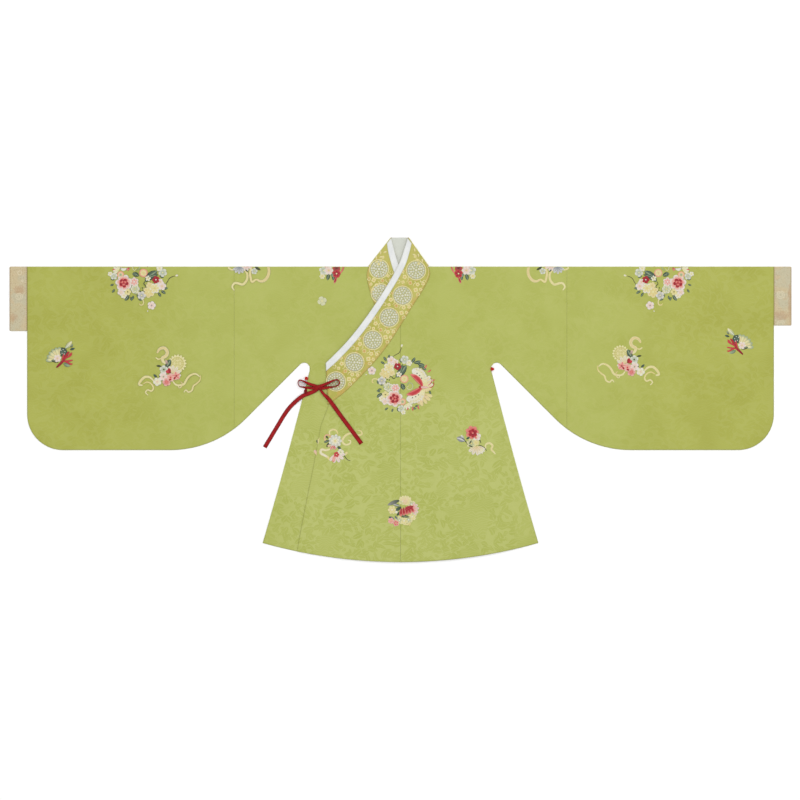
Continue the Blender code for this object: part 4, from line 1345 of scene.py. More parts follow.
def moved(parts, x=0.0, y=0.0, turn=0.0, flip=1.0, scale=1.0, layer=0.0):
    """The same areas mirrored if flip is -1, then scaled, turned and shifted."""
    angle = np.radians(turn)
    spin = np.array([[np.cos(angle), np.sin(angle)], [-np.sin(angle), np.cos(angle)]])
    result = []
    for xy, height, colour, run in parts:
        placed = (xy * np.array([flip, 1.0]) * scale) @ spin + np.array([x, y])
        result.append((placed, np.where(height > SUNK, height + layer * STITCH, SUNK), colour, run * scale))
    return result


# %% Reading a motif's table
THREADS = dict(
    red=RED, deep_red=DEEP_RED, rose=ROSE, coral=CORAL, blush=BLUSH, white=WHITE, cream=CREAM, gold=GOLD,
    peach=PEACH, sage=SAGE, grey=GREY, dark_leaf=DARK_LEAF, slate=SLATE, olive=OLIVE, blue_grey=BLUE_GREY,
    stem=STEM, dull_gold=DULL_GOLD,
)
SHAPES = dict(
    leaf=leaf, petal=petal, strand=strand, disc=disc, dots=dots,
    blossom=blossom, peony=peony, lily=lily, wing=wing,
)


def read_word(word):
    """A thread's name, points as x,y;x,y, one point, or a number."""
    if word in THREADS:
        return THREADS[word]
    if ";" in word:
        return [read_word(point) for point in word.split(";")]
    if "," in word:
        return tuple(read_word(value) for value in word.split(","))
    return float(word) if "." in word else int(word)


def draw(table):
    """Areas from a table: on each line a shape's name, then its values in order, then its named values."""
    parts = []
    for line in table.strip().splitlines():
        shape, *words = line.split()
        named = dict(word.split("=") for word in words if "=" in word)
        values = [read_word(word) for word in words if "=" not in word]
        parts += SHAPES[shape](*values, **{name: read_word(word) for name, word in named.items()})
    return parts


# %% [markdown]
# ## The motifs
#
# The big roundel stands at the middle of the front and again on both shoulders: a peony, a butterfly
# whose wings bend to the ring, and small flowers and leaves that fill the circle. The sleeves carry a
# gold disc between curling ribbons and a spray with shell and coral, and the skirt has three smaller
# sprays. Each motif is a list of areas, drawn from the bottom layer up.

# %% The big roundel
def roundel():
    parts = draw("""
    strand -30,80;-24,84;-14,90;-9,99;-7,107 2.0 stem stem
    petal -7.5,105 9 6 75 cream white
    leaf -30,79 11 6 215 coral peach
    """)
    leaves_about = (
        "-54,58,150,14;-50,66,120,15;-45,72,75,14;-40,74,35,13;20,62,55,19;27,62,15,21;"
        "38,60,-12,21;50,54,-45,18;40,50,20,15;-8,62,110,13;-72,2,110,12;-60,-2,150,11;"
        "-62,-12,190,12;-60,-24,215,20;-66,-20,160,12;-44,-64,215,12;-30,-66,250,11;-18,-64,290,12;"
        "70,-14,-60,13;73,-26,-110,12;22,-62,-20,14;30,-60,20,12"
    )
    for x, y, turn, size in read_word(leaves_about):
        parts += leaf((x, y), size, 0.50 * size, turn, DARK_LEAF, SLATE, vein=SAGE, bend=30)
    return parts + draw("""
    blossom -36,69 12 5 blush white gold 10 0.5
    blossom 2,71 12 5 sage white cream 40 0.5
    blossom 14,62 9 5 cream white gold 0 0.5
    blossom -24,64 9 5 blush white gold 30 0.6
    blossom -52,32 17 6 gold peach cream 5 0.5 rim=cream
    blossom -42,49 15 6 gold cream gold 25 1.0 rim=white
    blossom -34,34 10 5 peach cream gold 50 1.4
    leaf -24,22 46 21 48 dark_leaf slate bend=26 layer=1.2 vein=sage stripe=slate
    leaf -18,24 38 11 68 slate dark_leaf bend=30 layer=1.7 vein=sage
    blossom -18,52 10.5 5 deep_red red white 54 2.4
    blossom -62,12 12 5 grey white cream 20 1.0
    strand -70,12;-78,17;-87,16;-89,9;-84,5 4.0 cream gold layer=0.2
    strand -44,19;-36,24;-30,18;-22,21 2.4 olive dark_leaf layer=0.6
    dots -47,16;-52,20;-41,14;-50,8;-44,6 1.8 dark_leaf
    blossom -44,-6 13 6 sage cream gold 30 1.0 rim=white
    leaf -58,-8 15 8 60 sage cream layer=0.5
    blossom -62,-38 9 5 cream white blush 15 0.8
    blossom -8,-66 10 5 sage white cream 0 0.8
    blossom -2,-76 7 5 cream white gold 30 0.6
    lily 8,-52 17 -60 cream 0.8
    blossom -14,30 8 5 cream white gold 10 0.8
    blossom -24,-9 13 6 coral blush white 0 1.2 rim=white
    blossom -52,-27 10 5 gold cream olive 15 1.2
    blossom -53,-46 10 5 blush white cream 35 1.0
    peony -27,-38 24 20 1.5
    leaf -8,4 20 13 -70 dark_leaf slate bend=-40 layer=1.8 vein=sage
    leaf -8,-4 13 8 -10 slate dark_leaf bend=50 layer=2.2 vein=sage
    disc 1,17 12 cream coral 1.2
    blossom 1,17 9 8 gold cream peach 0 2.0
    disc -4,-47 10 cream coral 1.0
    disc -4,-47 6 sage cream 1.6
    strand 8,-2;14,6;23,3;24,-8;15,-13;8,-8;14,-2 3.2 sage cream layer=0.6
    """)


def butterfly():
    """Wings bent to the ring, striped tail petals at the outside and coral bits beyond them."""
    parts = []
    for x, y, turn in read_word("57,46,62;65,36,35;74,12,15;40,-56,-80;26,-60,-95;14,-59,-110"):
        parts += leaf((x, y), 13, 4.5, turn, CORAL, ROSE, bend=40)
    for k, (x, y, turn) in enumerate([(56, -24, -20), (54, -28, -38), (50, -32, -56), (44, -36, -72)]):
        tone = BLUSH if k % 2 else PEACH
        parts += petal((x, y), 25, 11, turn, tone, CREAM, layer=0.5 + 0.2 * k, stripe=GOLD)
    for k, (x, y, turn) in enumerate([(60, 10, 48), (62, 6, 24), (62, 0, 0)]):
        parts += petal((x, y), 20, 11, turn, PEACH if k % 2 else BLUSH, CREAM, layer=0.5 + 0.2 * k, rim=WHITE)
    return parts + draw("""
    disc 63,-4 17 cream peach 0.3 points=12 tooth=0.14
    petal 60,2 46 24 112 cream white layer=0.5 rim=peach
    petal 58,-12 46 24 -114 cream white layer=0.5 rim=peach
    wing 56,-2 58 134 62 1.4
    wing 54,-10 58 206 -52 1.4
    leaf 42,-6 28 9 -2 rose coral layer=4.0 stripe=white
    disc 45,-6 4 red deep_red 4.4
    strand 66,-2;73,3;78,12;75,20 2.4 rose red layer=1.4
    strand 68,-6;77,-6;83,1;83,10 2.4 rose red layer=1.4
    """)


def stray_flower():
    """The small white flower beside each roundel, with one fallen petal."""
    return blossom((0, 0), 12, 5, BLUSH, WHITE, GREY, 15, 0.3) + petal((-13, -10), 5, 4, 200, CREAM, WHITE)


ROUNDEL = roundel() + butterfly() + moved(stray_flower(), -90, 40)
print("areas in the roundel", len(ROUNDEL))

# %% Motifs of the sleeves
def disc_spray():
    """A gold disc with a lattice, flowers below it and three curling ribbons."""
    return draw("""
    strand -38,50;-30,62;-17,64;-9,53;-13,42;-23,36;-20,26;-12,20 11 gold cream stripe=peach rim=cream
    strand -42,38;-34,33;-26,36 5 cream gold
    disc 19,21 26 cream cream 0.2 points=17 tooth=0.22
    disc 19,21 20.5 dull_gold dull_gold 0.8 points=17 tooth=0.05 lattice=cream
    strand -46,-29;-58,-18;-72,-17;-84,-28;-88,-38;-78,-40 8 cream gold rim=cream
    strand -78,-37;-66,-31;-54,-36;-48,-48;-54,-56;-64,-53;-70,-60;-63,-68 5.5 gold cream
    strand 6,-28;14,-38;26,-40;38,-36;46,-22;56,-12;70,-8;82,-16 7 cream gold rim=cream
    strand 84,-12;82,-26;72,-36;64,-42;60,-54;50,-59;43,-53;37,-60 5.5 gold cream
    strand 20,-38;24,-47;30,-44;32,-34;27,-29 3.4 cream peach layer=0.5
    leaf -13,10 26 18 60 dark_leaf slate bend=20 layer=1.0 vein=sage
    leaf -8,16 16 9 110 slate blush layer=1.6
    leaf -26,13 14 6 172 dark_leaf olive layer=0.6
    leaf -38,-18 13 7 140 dark_leaf slate layer=0.8
    leaf -28,-20 13 7 98 slate dark_leaf layer=0.8
    blossom -19,4 12 5 sage white olive 20 1.2
    blossom -37,-30 12 5 cream white blush 45 1.2
    blossom -20,-16 13 5 blush white sage 0 1.4
    lily 6,-8 24 52 peach 1.2
    petal 0,-6 15 12 112 deep_red red layer=2.0
    petal -2,-6 13 10 150 red rose layer=2.2
    blossom 16,-14 12 5 coral blush deep_red 30 2.0 vein=rose
    petal 14,-16 8 7 235 deep_red red layer=3.4
    blossom 0,-18 12 5 coral blush rose 10 2.2 rim=blush
    blossom -11,-31 12 5 rose blush coral 35 2.0
    petal -6,-26 9 7 20 deep_red red layer=3.2
    """)


def coral_spray():
    """A striped shell, a speckled stone, red coral and leaves."""
    parts = []
    for k in range(6):
        tone = PEACH if k % 2 else CREAM
        layer = 0.3 + 0.2 * k
        parts += petal((-12 + k, -10 + k), 34 - k, 13, 186 - 19 * k, tone, CREAM, layer=layer, rim=SAGE)
    return parts + draw("""
    leaf 8,20 28 13 46 sage cream bend=16 vein=white
    leaf 22,16 14 7 18 dark_leaf slate
    leaf 24,22 12 6 60 olive sage
    leaf -34,-12 24 9 -18 dark_leaf olive bend=-20 layer=0.5 vein=sage
    leaf 4,-22 20 10 -22 slate sage bend=20 layer=0.2 vein=sage
    disc 2,10 13 slate dark_leaf 1.4 points=7 tooth=0.1
    dots -3,14;3,17;8,11;0,6;6,4 1.7 white 2.4
    blossom -13,-8 11 6 blush white gold 10 1.6
    strand -16,-34;-8,-26;0,-18;8,-6;14,4;20,11 7.5 deep_red red layer=2.0
    strand 0,-18;2,-8;4,0;5,6 5.0 red rose layer=2.3
    strand 2,-14;12,-6;20,-2;28,3 5.0 red rose layer=2.3
    strand -2,-18;10,-16;20,-15;30,-13 5.0 red rose layer=2.3
    strand 8,-17;16,-20;24,-24;29,-23 5.0 red rose layer=2.3
    strand 18,-3;22,3;28,8 5.0 red rose layer=2.3
    """)


def ribbon_spray():
    """Ribbons and a lily that hang down from the shoulder fold."""
    return draw("""
    strand 4,20;4,0;0,-16;2,-32;6,-42;16,-36;24,-36 8 peach gold stripe=cream
    strand 18,-34;28,-40;40,-38;50,-26;53,-10;48,6;38,14 9.5 cream gold stripe=peach
    strand -24,12;-16,-6;-8,-20;-9,-36;-20,-49;-34,-46;-44,-46;-50,-56;-44,-66 7.5 gold cream rim=cream
    strand -36,18;-52,10;-60,-2;-50,-8;-40,-4 6 gold cream
    leaf -34,2 20 9 -110 dark_leaf slate layer=0.4
    leaf -14,-2 14 8 -60 slate dark_leaf layer=0.4
    leaf 14,0 18 7 -30 dark_leaf olive layer=0.4
    lily -30,0 20 -92 blue_grey 1.0
    lily -12,6 18 -70 blush 0.8
    blossom 12,-12 9 5 sage white gold 10 1.0
    blossom -4,10 14 6 coral blush rose 10 1.0
    """)


def shoulder_spray():
    """White flowers and a red one, half before and half behind the shoulder fold."""
    return draw("""
    leaf -8,-18 20 11 -100 dark_leaf slate layer=0.3 vein=sage
    leaf -2,-16 16 9 -60 slate sage layer=0.5
    leaf 6,-20 18 9 -95 dark_leaf slate layer=0.3 vein=sage
    leaf 14,-28 20 8 -110 red deep_red layer=0.4 rim=coral
    leaf -18,-10 14 6 -140 dark_leaf slate layer=0.3
    blossom -26,-26 8 6 gold cream gold 0 0.6 rim=white
    blossom -22,-10 13 5 sage white cream 20 1.0
    blossom -8,-10 13 6 blush white gold 0 1.2
    blossom 14,-19 12 5 deep_red red cream 12 1.4 rim=rose
    blossom 14,-4 11 5 dark_leaf rose deep_red 40 1.0
    strand 22,-20;30,-10;34,2;30,12 5 coral red layer=0.6
    blossom -14,10 14 6 coral blush rose 20 1.0
    """)


def star_flower():
    return blossom((0, 0), 13, 4, thread(208, 210, 158), thread(222, 223, 186), CREAM, 20, 0.0)


# %% Motifs of the skirt
def white_flower_spray():
    """A white flower of many petals with a red heart below it, between cream ribbons."""
    return draw("""
    strand 55,44;64,42;67,34;58,30;46,34;32,35;19,27;12,14;20,4;32,6;35,14;27,17 7 gold cream rim=cream
    strand -20,-8;-34,-12;-46,-10;-48,-20;-38,-26;-28,-32;-24,-40 10 cream white rim=gold
    strand -22,30;-24,40;-14,46;-4,42;0,32 6 cream gold
    strand -30,12;-38,20;-34,30;-24,30;-20,22 5 cream peach stripe=coral
    leaf -24,16 17 8 200 dark_leaf slate layer=0.6 vein=sage
    leaf -24,10 16 8 240 dark_leaf olive layer=0.8
    leaf -27,20 12 6 130 olive dark_leaf layer=0.6
    blossom -8,14 19 9 sage white cream 0 1.0
    blossom -8,14 12 7 cream white gold 20 2.0
    petal -14,2 14 9 -120 coral blush layer=2.0 vein=red
    petal -12,2 13 9 -70 red blush layer=2.2 vein=rose
    petal -18,2 12 8 190 blush peach layer=1.9
    leaf -2,-2 12 8 -30 dark_leaf slate layer=1.0
    lily -6,-22 26 -68 blush 1.4
    petal -8,-24 22 11 -105 coral blush layer=2.9 rim=coral
    blossom -4,-24 8 5 red rose cream 0 3.0
    blossom 7,-17 9 4 cream white sage 10 1.6
    strand 14,-18;18,-28;26,-38;36,-42 2.2 dark_leaf stem
    petal 20,-26 12 8 60 cream gold layer=0.2
    leaf -56,4 20 5 78 cream gold bend=-30
    leaf -58,8 10 5 100 dark_leaf slate layer=0.4
    petal -60,-26 16 9 112 peach blush
    """)


def red_flower_spray():
    """A red flower, a grey leaf, dark stems and pale scrolls."""
    return draw("""
    leaf -28,2 26 17 158 blue_grey grey bend=20 vein=white
    leaf -30,8 15 7 130 grey white layer=0.4
    strand -38,14;-30,6;-22,-4;-14,-12;-4,-12 2.6 dark_leaf stem layer=0.4
    strand 6,12;13,6;17,-4 2.8 dark_leaf olive layer=0.6
    strand 6,-8;18,-11;28,-18;33,-25 2.6 olive dark_leaf layer=0.6
    strand 30,-20;30,-8;40,-3;49,-10;46,-20;52,-28;58,-34 7 cream gold rim=cream
    lily 4,-12 26 -82 peach 0.6
    lily 14,-20 15 -60 cream 0.8
    blossom -10,-4 14 7 sage cream gold 10 1.0
    leaf -16,-6 13 5 60 dark_leaf olive layer=2.2
    leaf -6,-14 13 5 160 dark_leaf olive layer=2.2
    blossom 3,-2 9 5 gold cream gold 30 1.4
    blossom 5,15 12 5 blush white cream 20 1.0
    blossom -8,27 19 7 red coral rose 5 1.6 rim=coral
    blossom -6,25 13 6 deep_red red coral 30 2.6
    petal -4,20 14 9 -50 red coral layer=2.2
    leaf -14,14 12 6 210 slate dark_leaf layer=0.8
    """)


def middle_round():
    """A small roundel: a striped red flower in a wreath of cream petals and dark leaves."""
    parts = draw("leaf -10,30 38 12 202 dark_leaf grey bend=12")
    for k in range(9):
        angle = 95 - 26 * k
        at = (30 * np.cos(np.radians(angle)), 28 * np.sin(np.radians(angle)))
        parts += blossom(at, 11.5, 5, GOLD if k % 2 else SAGE, CREAM, WHITE, 20 * k, 0.4, rim=CREAM)
    for k in range(5):
        tone, layer = BLUSH if k % 2 else PEACH, 0.8 + 0.2 * k
        parts += petal((4, 18), 26, 11, 122 - 18 * k, tone, CREAM, layer=layer, rim=CREAM)
    parts += draw("""
    leaf -10,14 20 9 166 slate grey layer=1.0 vein=white
    leaf -6,12 22 10 215 dark_leaf slate layer=1.2
    leaf -2,0 22 8 218 slate dark_leaf layer=1.4 bend=30
    leaf -12,-8 32 9 -16 dark_leaf olive bend=36 layer=1.4 vein=sage
    blossom -32,3 12 6 gold cream white 0 0.9
    disc -20,-3 4.5 white cream 2.4
    lily 24,6 20 5 coral 1.6
    """)
    for k in range(5):
        at, turn, layer = (18 - 6 * k, 17 - 2.0 * k), -62 - 8 * k, 2.6 + 0.3 * k
        parts += petal(at, 24, 11.5, turn, DEEP_RED, RED, layer=layer, vein=RED, rim=CORAL)
    return parts + draw("""
    petal 29,14 27 15 205 red rose layer=3.6 stripe=deep_red
    leaf -26,-22 17 7 160 blue_grey dark_leaf layer=0.6
    leaf -16,-24 13 6 130 blue_grey slate layer=0.8
    blossom -35,-27 9 5 coral blush peach 0 0.8
    blossom -21,-34 9 5 rose coral cream 30 1.0 rim=blush
    strand 4,-24;2,-33;10,-38;18,-34;17,-42 5.5 cream gold layer=0.6
    """)


# %% [markdown]
# ## Laying the motifs on the robe
#
# A motif's millimetres become a place on the flat cloth, and that place a point on the robe, up the
# front or over the fold and down the back. Later areas lie a hair higher, as later stitches do. On the
# back the stitches are pressed flat, because the robe's weight rests on them.

# %% Stitching
ORDER_STEP = 0.0022
PRESSED_BACK = 0.16


def embroidery_finish():
    """Silk thread: its colour comes from the areas, with fine lines of painted shade along the stitches."""
    material, tree, shader = new_finish("embroidery_silk", 0.42, 0.2)
    run, across = cloth_place(tree)
    colour = tree.nodes.new("ShaderNodeAttribute")
    colour.attribute_name = "thread"
    lines = across.wave(0.00075)
    # Painted shade in the grooves between threads, multiplied onto the thread's colour.
    shadow = tree.nodes.new("ShaderNodeMix")
    shadow.data_type = "RGBA"
    shadow.blend_type = "MULTIPLY"
    tree.links.new((lines.rise(0.2, -0.9) * 0.45).socket, shadow.inputs["Factor"])
    tree.links.new(colour.outputs["Color"], shadow.inputs[6])
    shadow.inputs[7].default_value = (0.55, 0.52, 0.50, 1.0)
    tree.links.new(shadow.outputs[2], shader.inputs["Base Color"])
    relief(shader, lines * 0.5 + noise(run, across, 900.0, 1.0) * 0.4, 0.00012)
    return material


EMBROIDERY = embroidery_finish()


def sew(name, parts, surface):
    """One object of all the areas; surface maps x, y in metres and a lift to points and face order."""
    sizes = [xy.shape[:2] for xy, height, colour, run in parts]
    flat = np.concatenate([xy.reshape(-1, 2) for xy, height, colour, run in parts]) / 1000
    heights = [np.where(part[1] > SUNK, part[1] + ORDER_STEP * k, SUNK) for k, part in enumerate(parts)]
    lift = np.concatenate([height.ravel() for height in heights]) / 1000
    colour = np.concatenate([colour.reshape(-1, 3) for xy, height, colour, run in parts])
    run = np.concatenate([run.reshape(-1, 2) for xy, height, colour, run in parts]) / 1000
    points = surface(flat[:, 0], flat[:, 1], lift)
    faces, start = [], 0
    for rows, columns in sizes:
        corner = flat[start : start + rows * columns].reshape(rows, columns, 2)
        down, over = np.diff(corner, axis=0)[:, :-1], np.diff(corner, axis=1)[:-1]
        turns = (down[..., 0] * over[..., 1] - down[..., 1] * over[..., 0]).sum()
        squares = grid_faces(rows, columns) + start
        faces.append(squares if turns < 0 else squares[:, ::-1])
        start += rows * columns
    piece = make_object(name, points, np.concatenate(faces), run, EMBROIDERY, colours=[("thread", colour)])
    return piece


def robe_surface(at):
    """Where a motif's x, y go when its middle is at this place on the cloth."""
    def surface(x, y, lift):
        v = at[1] + y
        pressed = np.where(v > SHOULDER_Y, PRESSED_BACK, 1.0)
        return on_robe(at[0] + x, v, lift * pressed)

    return surface


def on_cloth(name, parts, at, flip=1.0, turn=0.0):
    return sew(name, moved(parts, turn=turn, flip=flip), robe_surface(at))


BACK = 2 * SHOULDER_Y
EMBROIDERED = {
    # name: (areas, (x, place up the cloth), flip, turn)
    "front_roundel": (ROUNDEL, (0.0098, 0.0412), 1, 0),
    "shoulder_roundel_right": (ROUNDEL, (-0.7370, 0.3540), -1, -90),
    "shoulder_roundel_left": (ROUNDEL, (0.7390, 0.3540), 1, 90),
    "disc_spray_right": (disc_spray(), (-0.6440, 0.0804), 1, 0),
    "disc_spray_left": (disc_spray(), (0.6356, 0.1084), -1, 0),
    "coral_spray_right": (coral_spray(), (-0.9478, 0.1238), 1, 0),
    "coral_spray_left": (coral_spray(), (0.9436, 0.1602), -1, 0),
    "ribbon_spray_right": (ribbon_spray(), (-0.4214, 0.3720), 1, 0),
    "ribbon_spray_left": (ribbon_spray(), (0.4102, 0.3720), -1, 0),
    "shoulder_spray_right": (shoulder_spray(), (-0.1932, 0.3720), 1, 0),
    "shoulder_spray_left": (shoulder_spray(), (0.1764, 0.3720), -1, 0),
    "star_flower": (star_flower(), (-0.2198, 0.2764), 1, 0),
    "white_flower_spray": (white_flower_spray(), (-0.1750, -0.1296), 1, 0),
    "red_flower_spray": (red_flower_spray(), (0.2086, -0.1184), 1, 0),
    "skirt_round": (middle_round(), (0.0084, -0.3116), 1, 0),
    "back_roundel": (ROUNDEL, (0.0, BACK - 0.10), 1, 180),
    "back_round": (middle_round(), (0.0, BACK + 0.28), 1, 180),
    "back_white_spray": (white_flower_spray(), (-0.18, BACK + 0.14), 1, 180),
    "back_red_spray": (red_flower_spray(), (0.18, BACK + 0.14), 1, 180),
    "back_disc_spray_right": (disc_spray(), (-0.64, BACK - 0.09), -1, 180),
    "back_disc_spray_left": (disc_spray(), (0.64, BACK - 0.09), 1, 180),
}
SEWN = {
    name: on_cloth("embroidery_" + name, parts, at, flip, turn)
    for name, (parts, at, flip, turn) in EMBROIDERED.items()
}
print("embroidered pieces", len(SEWN), "faces", sum(len(piece.data.polygons) for piece in SEWN.values()))

# %% [markdown]
# ## Woven figures of the collar
#
# The collar's brocade carries round medallions in a row, each a ring about a field of small pale
# flowers, with gold scrolls and four-lobed blossoms in the gaps. The brocaded threads float on the face
# and stand a little proud, so the same kit of areas draws them, laid flat and low on the band.

# %% Medallions and scrolls
PALE_GOLD, FIGURE_GOLD, ORANGE = thread(240, 231, 170), thread(229, 214, 140), thread(210, 164, 84)
FIELD, FIELD_PALE, FIELD_GREY = thread(186, 185, 128), thread(230, 229, 204), thread(208, 211, 188)
MEDALLION_R = 28.5
MEDALLIONS_OUTER = table("""
    x y
    43.7 362.3
    5.6 291.2
    -31.4 230.2
    -77.6 166.9
    -129.1 104.7
    -180.6 51.2
""")
MEDALLIONS_UNDER = [(-0.0599, 0.3660), (-0.0554, 0.2982)]


def circle(radius, width, base, layer):
    angle = np.linspace(0, 2 * np.pi, 41)
    centre = radius * np.stack([np.cos(angle), np.sin(angle)], axis=-1)
    return [area(centre, np.full(len(angle), width / 2), base, base, layer=layer)]


def small_blossom(at, radius, lobes, base, tip, layer=0.6):
    return disc(at, radius, base, tip, layer, points=lobes, tooth=0.26)


def medallion():
    """A ring, a thin ring inside it, and flowers on three circles."""
    parts = disc((0, 0), MEDALLION_R - 1, FIELD, FIELD, -0.4)
    parts += circle(MEDALLION_R - 1.6, 3.0, PALE_GOLD, 0.2) + circle(MEDALLION_R - 5.2, 1.1, FIELD_GREY, 0.1)
    parts += small_blossom((0, 0), 5.0, 6, FIELD_PALE, WHITE, 0.4)
    circles = ((6, 8.4, 4.5, FIELD_GREY), (12, 14.6, 4.1, FIELD_PALE), (19, 20.6, 3.6, FIELD_GREY))
    for count, reach, radius, base in circles:
        for k in range(count):
            angle = 2 * np.pi * (k + 0.25) / count
            tone = FIELD_PALE if k % 2 else base
            at = (reach * np.cos(angle), reach * np.sin(angle))
            parts += small_blossom(at, radius, 4 + k % 2, tone, WHITE if k % 3 else FIELD_GREY, 0.3)
    return parts


def scrolls():
    """What fills the gap between two medallions: a blossom, and curls with lobed flowers at both sides."""
    parts = small_blossom((0, 1), 6.5, 4, ORANGE, PALE_GOLD)
    for x, y, radius in read_word("-9,-22,7.5;7,-19,6.5;16,-31,6;-1,-33,5.5;7,23,7;-8,20,5.5;18,35,4.5"):
        parts += small_blossom((x, y), radius, 4 + abs(y) % 2, FIGURE_GOLD, PALE_GOLD)
        parts += small_blossom((x, y), 0.36 * radius, 4, ORANGE, FIGURE_GOLD, 1.2)
    for path in (
        "-24,-36;-18,-29;-12,-33;-16,-38;-20,-35",
        "24,-38;27,-30;21,-27;17,-22;22,-19",
        "-4,-12;2,-9;8,-11;11,-7",
        "-20,34;-15,27;-9,30;-11,36;-16,35",
        "-3,12;4,10;10,14;16,12",
        "2,33;8,38;14,34;12,29",
    ):
        parts += strand(read_word(path), 3.0, FIGURE_GOLD, PALE_GOLD, layer=0.2)
    for x, y, turn in read_word("-14,12,130;14,4,20;-13,-8,200;12,-8,-30;-16,-28,240;22,26,60"):
        parts += leaf((x, y), 9, 5, turn, ORANGE, FIGURE_GOLD, layer=0.1)
    return parts


def band_place(rows, at):
    """Middle and direction (degrees) of the band where it passes a point."""
    middle = across(rows, np.array([0.42]))[:, 0]
    near = int(np.hypot(*(middle - at).T).argmin())
    run = middle[min(near + 1, len(middle) - 1)] - middle[max(near - 1, 0)]
    return middle[near], float(np.degrees(np.arctan2(run[1], run[0])))


def band_figures(rows, medallions):
    """Medallions at their places, scrolls between them, and a border strand near the seam."""
    parts = []
    line = across(rows, np.array([0.052]))[:, 0] * 1000
    parts += [area(line, np.full(len(line), 1.0), ORANGE, ORANGE, rim=FIGURE_GOLD, layer=0.1)]
    gaps = [(np.array(first) + second) / 2 for first, second in zip(medallions, medallions[1:])]
    for gap in gaps:
        middle, turn = band_place(rows, gap)
        parts += moved(scrolls(), *(middle * 1000), turn)
    for at in medallions:
        middle, turn = band_place(rows, np.array(at))
        parts += moved(medallion(), *(np.array(at) * 1000), turn)
    return parts


def outer_band(x, y, lift):
    return np.stack([x, y, outer_arm_at(x) + (CLOTH + THIN) / 2 + lift], axis=-1)


def under_band(x, y, lift):
    return np.stack([x, y, UNDER_COLLAR_AT + (CLOTH + THIN) / 2 + lift], axis=-1)


def neck_scroll(side):
    """Leaves and small flowers that climb beside the guard to the fold at the neck."""
    parts = []
    for k in range(5):
        parts += leaf((9 * k, 3 * (k % 2)), 11, 6, 35 if k % 2 else -25, FIGURE_GOLD, PALE_GOLD, layer=0.2)
    for k in range(3):
        parts += small_blossom((11 * k + 4, side * (2 * k - 11)), 5, 4, FIGURE_GOLD, PALE_GOLD)
    return parts


OUTER_FIGURES = band_figures(OUTER_ROWS, MEDALLIONS_OUTER)
OUTER_FIGURES += moved(neck_scroll(-1), 62, 384, 126)
UNDER_FIGURES = band_figures(UNDER_ROWS, MEDALLIONS_UNDER)
UNDER_FIGURES += moved(neck_scroll(1), -72, 384, 49)
BAND_OUTER = sew("brocade_figures_outer", OUTER_FIGURES, outer_band)
BAND_UNDER = sew("brocade_figures_under", UNDER_FIGURES, under_band)
print("collar figures", len(OUTER_FIGURES), len(UNDER_FIGURES))

# %% [markdown]
# ## Ribbons
#
# The robe is closed by two red silk ribbons tied in a flat bow. The tails lie on the cloth and the floor.
# The loops stand on edge, so from above only their edges show. A ribbon is a strip carried along a path:
# its cross-line leans by an angle, 0 for flat and 90 for on edge.

# %% Red silk and the bow
RIBBON = 0.0115
LOOP_WIDTH = 0.0085
KNOT_AT = (-0.2305, 0.0345)
LOOPS = {
    "tie_loop_left": table("""
    x y lowest lean
    -232 37.2 4 12d
    -243 40.2 3.4 18d
    -258 45.2 3 34d
    -272 52 2.9 62d
    -283 54.8 2.9 72d
    -286.8 47 2.8 75d
    -282.5 37.8 2.8 72d
    -271 35 2.8 58d
    -256 33.4 2.8 28d
    -242 32.2 3.2 16d
    -231 33.5 3.8 10d
    """),
    "tie_loop_right": table("""
    x y lowest lean
    -229 33 5.2 10d
    -219.5 32.2 5.6 16d
    -203 34.5 5.7 34d
    -186 36.2 5.7 69d
    -174.5 40.5 5.7 69d
    -170.7 48.5 5.7 70d
    -176.5 56 5.7 67d
    -189 53 5.7 55d
    -204 46.2 5.7 30d
    -219.5 40 5.6 18d
    -230 37.2 5 10d
    """),
}
TAILS = {
    "tie_tail_left": table("""
    x y underside width
    -227 33.5 5.2 7
    -239 25 3.8 9.8
    -254.5 18.5 3.1 11.5
    -273 11 2.9 11.5
    -288 0 2.8 11.5
    -299 -10 1.6 11.5
    -312 -23.5 0.3 11.5
    -326 -43 0 11.5
    -346 -76 0 11.5
    -380.5 -133.5 0 11.5
    """),
    "tie_tail_right": table("""
    x y underside width
    -229 33.5 6 6
    -221.5 24 6 6.8
    -213 13.5 6 8.5
    -202 3 6 10.5
    -189 -14.5 5.8 11.5
    -166.5 -46 4.8 11.5
    -141 -80 4.9 11.5
    -109.5 -123 5.2 11.5
    """),
}


KNOT_TURNS = [
    # ((x, y, height) along a turn from the knot's middle, half width, half height)
    (table("x y height\n-12.5 1 2\n-6 0.8 3.5\n0 0 4\n7 -0.8 3.8\n12.5 0 4"), 0.0042, 0.0019),
    (table("x y height\n-9 -9 1.8\n-6 -4 3.6\n0 0.8 4.6\n5 4 4\n8 6.2 2.2"), 0.0036, 0.0016),
    (table("x y height\n9.5 -9.5 4\n6.2 -5 4.6\n1.5 0.2 4.8\n-3 4 3.6\n-5.5 5.8 1.8"), 0.0027, 0.0012),
]
RIBBON_ROOT = table("x y height\n-264 30 3.8\n-265.5 26 4.2\n-266 20.5 4\n-265 17 3.6")


def red_silk(name, deep, bright):
    """Red silk between two tones, with fine ribs across and darker along its edges."""
    material, tree, shader = new_finish(name, 0.5)
    shader.inputs["Specular IOR Level"].default_value = 0.12
    run, out = cloth_place(tree)
    ribs = run.wave(0.0011).rise(-0.5, 0.8)
    tone = mix(noise(run, out, 60.0, 2.0).rise(0.35, 0.65), deep, bright)
    woven = mix(ribs * 0.18, tone, dyed(186, 50, 50))
    colour_cloth(shader, tree, woven, dyed(84, 6, 12))
    relief(shader, ribs, 0.00010)
    return material


RED_SILK = red_silk("red_ribbon", dyed(146, 16, 20), dyed(164, 22, 26))
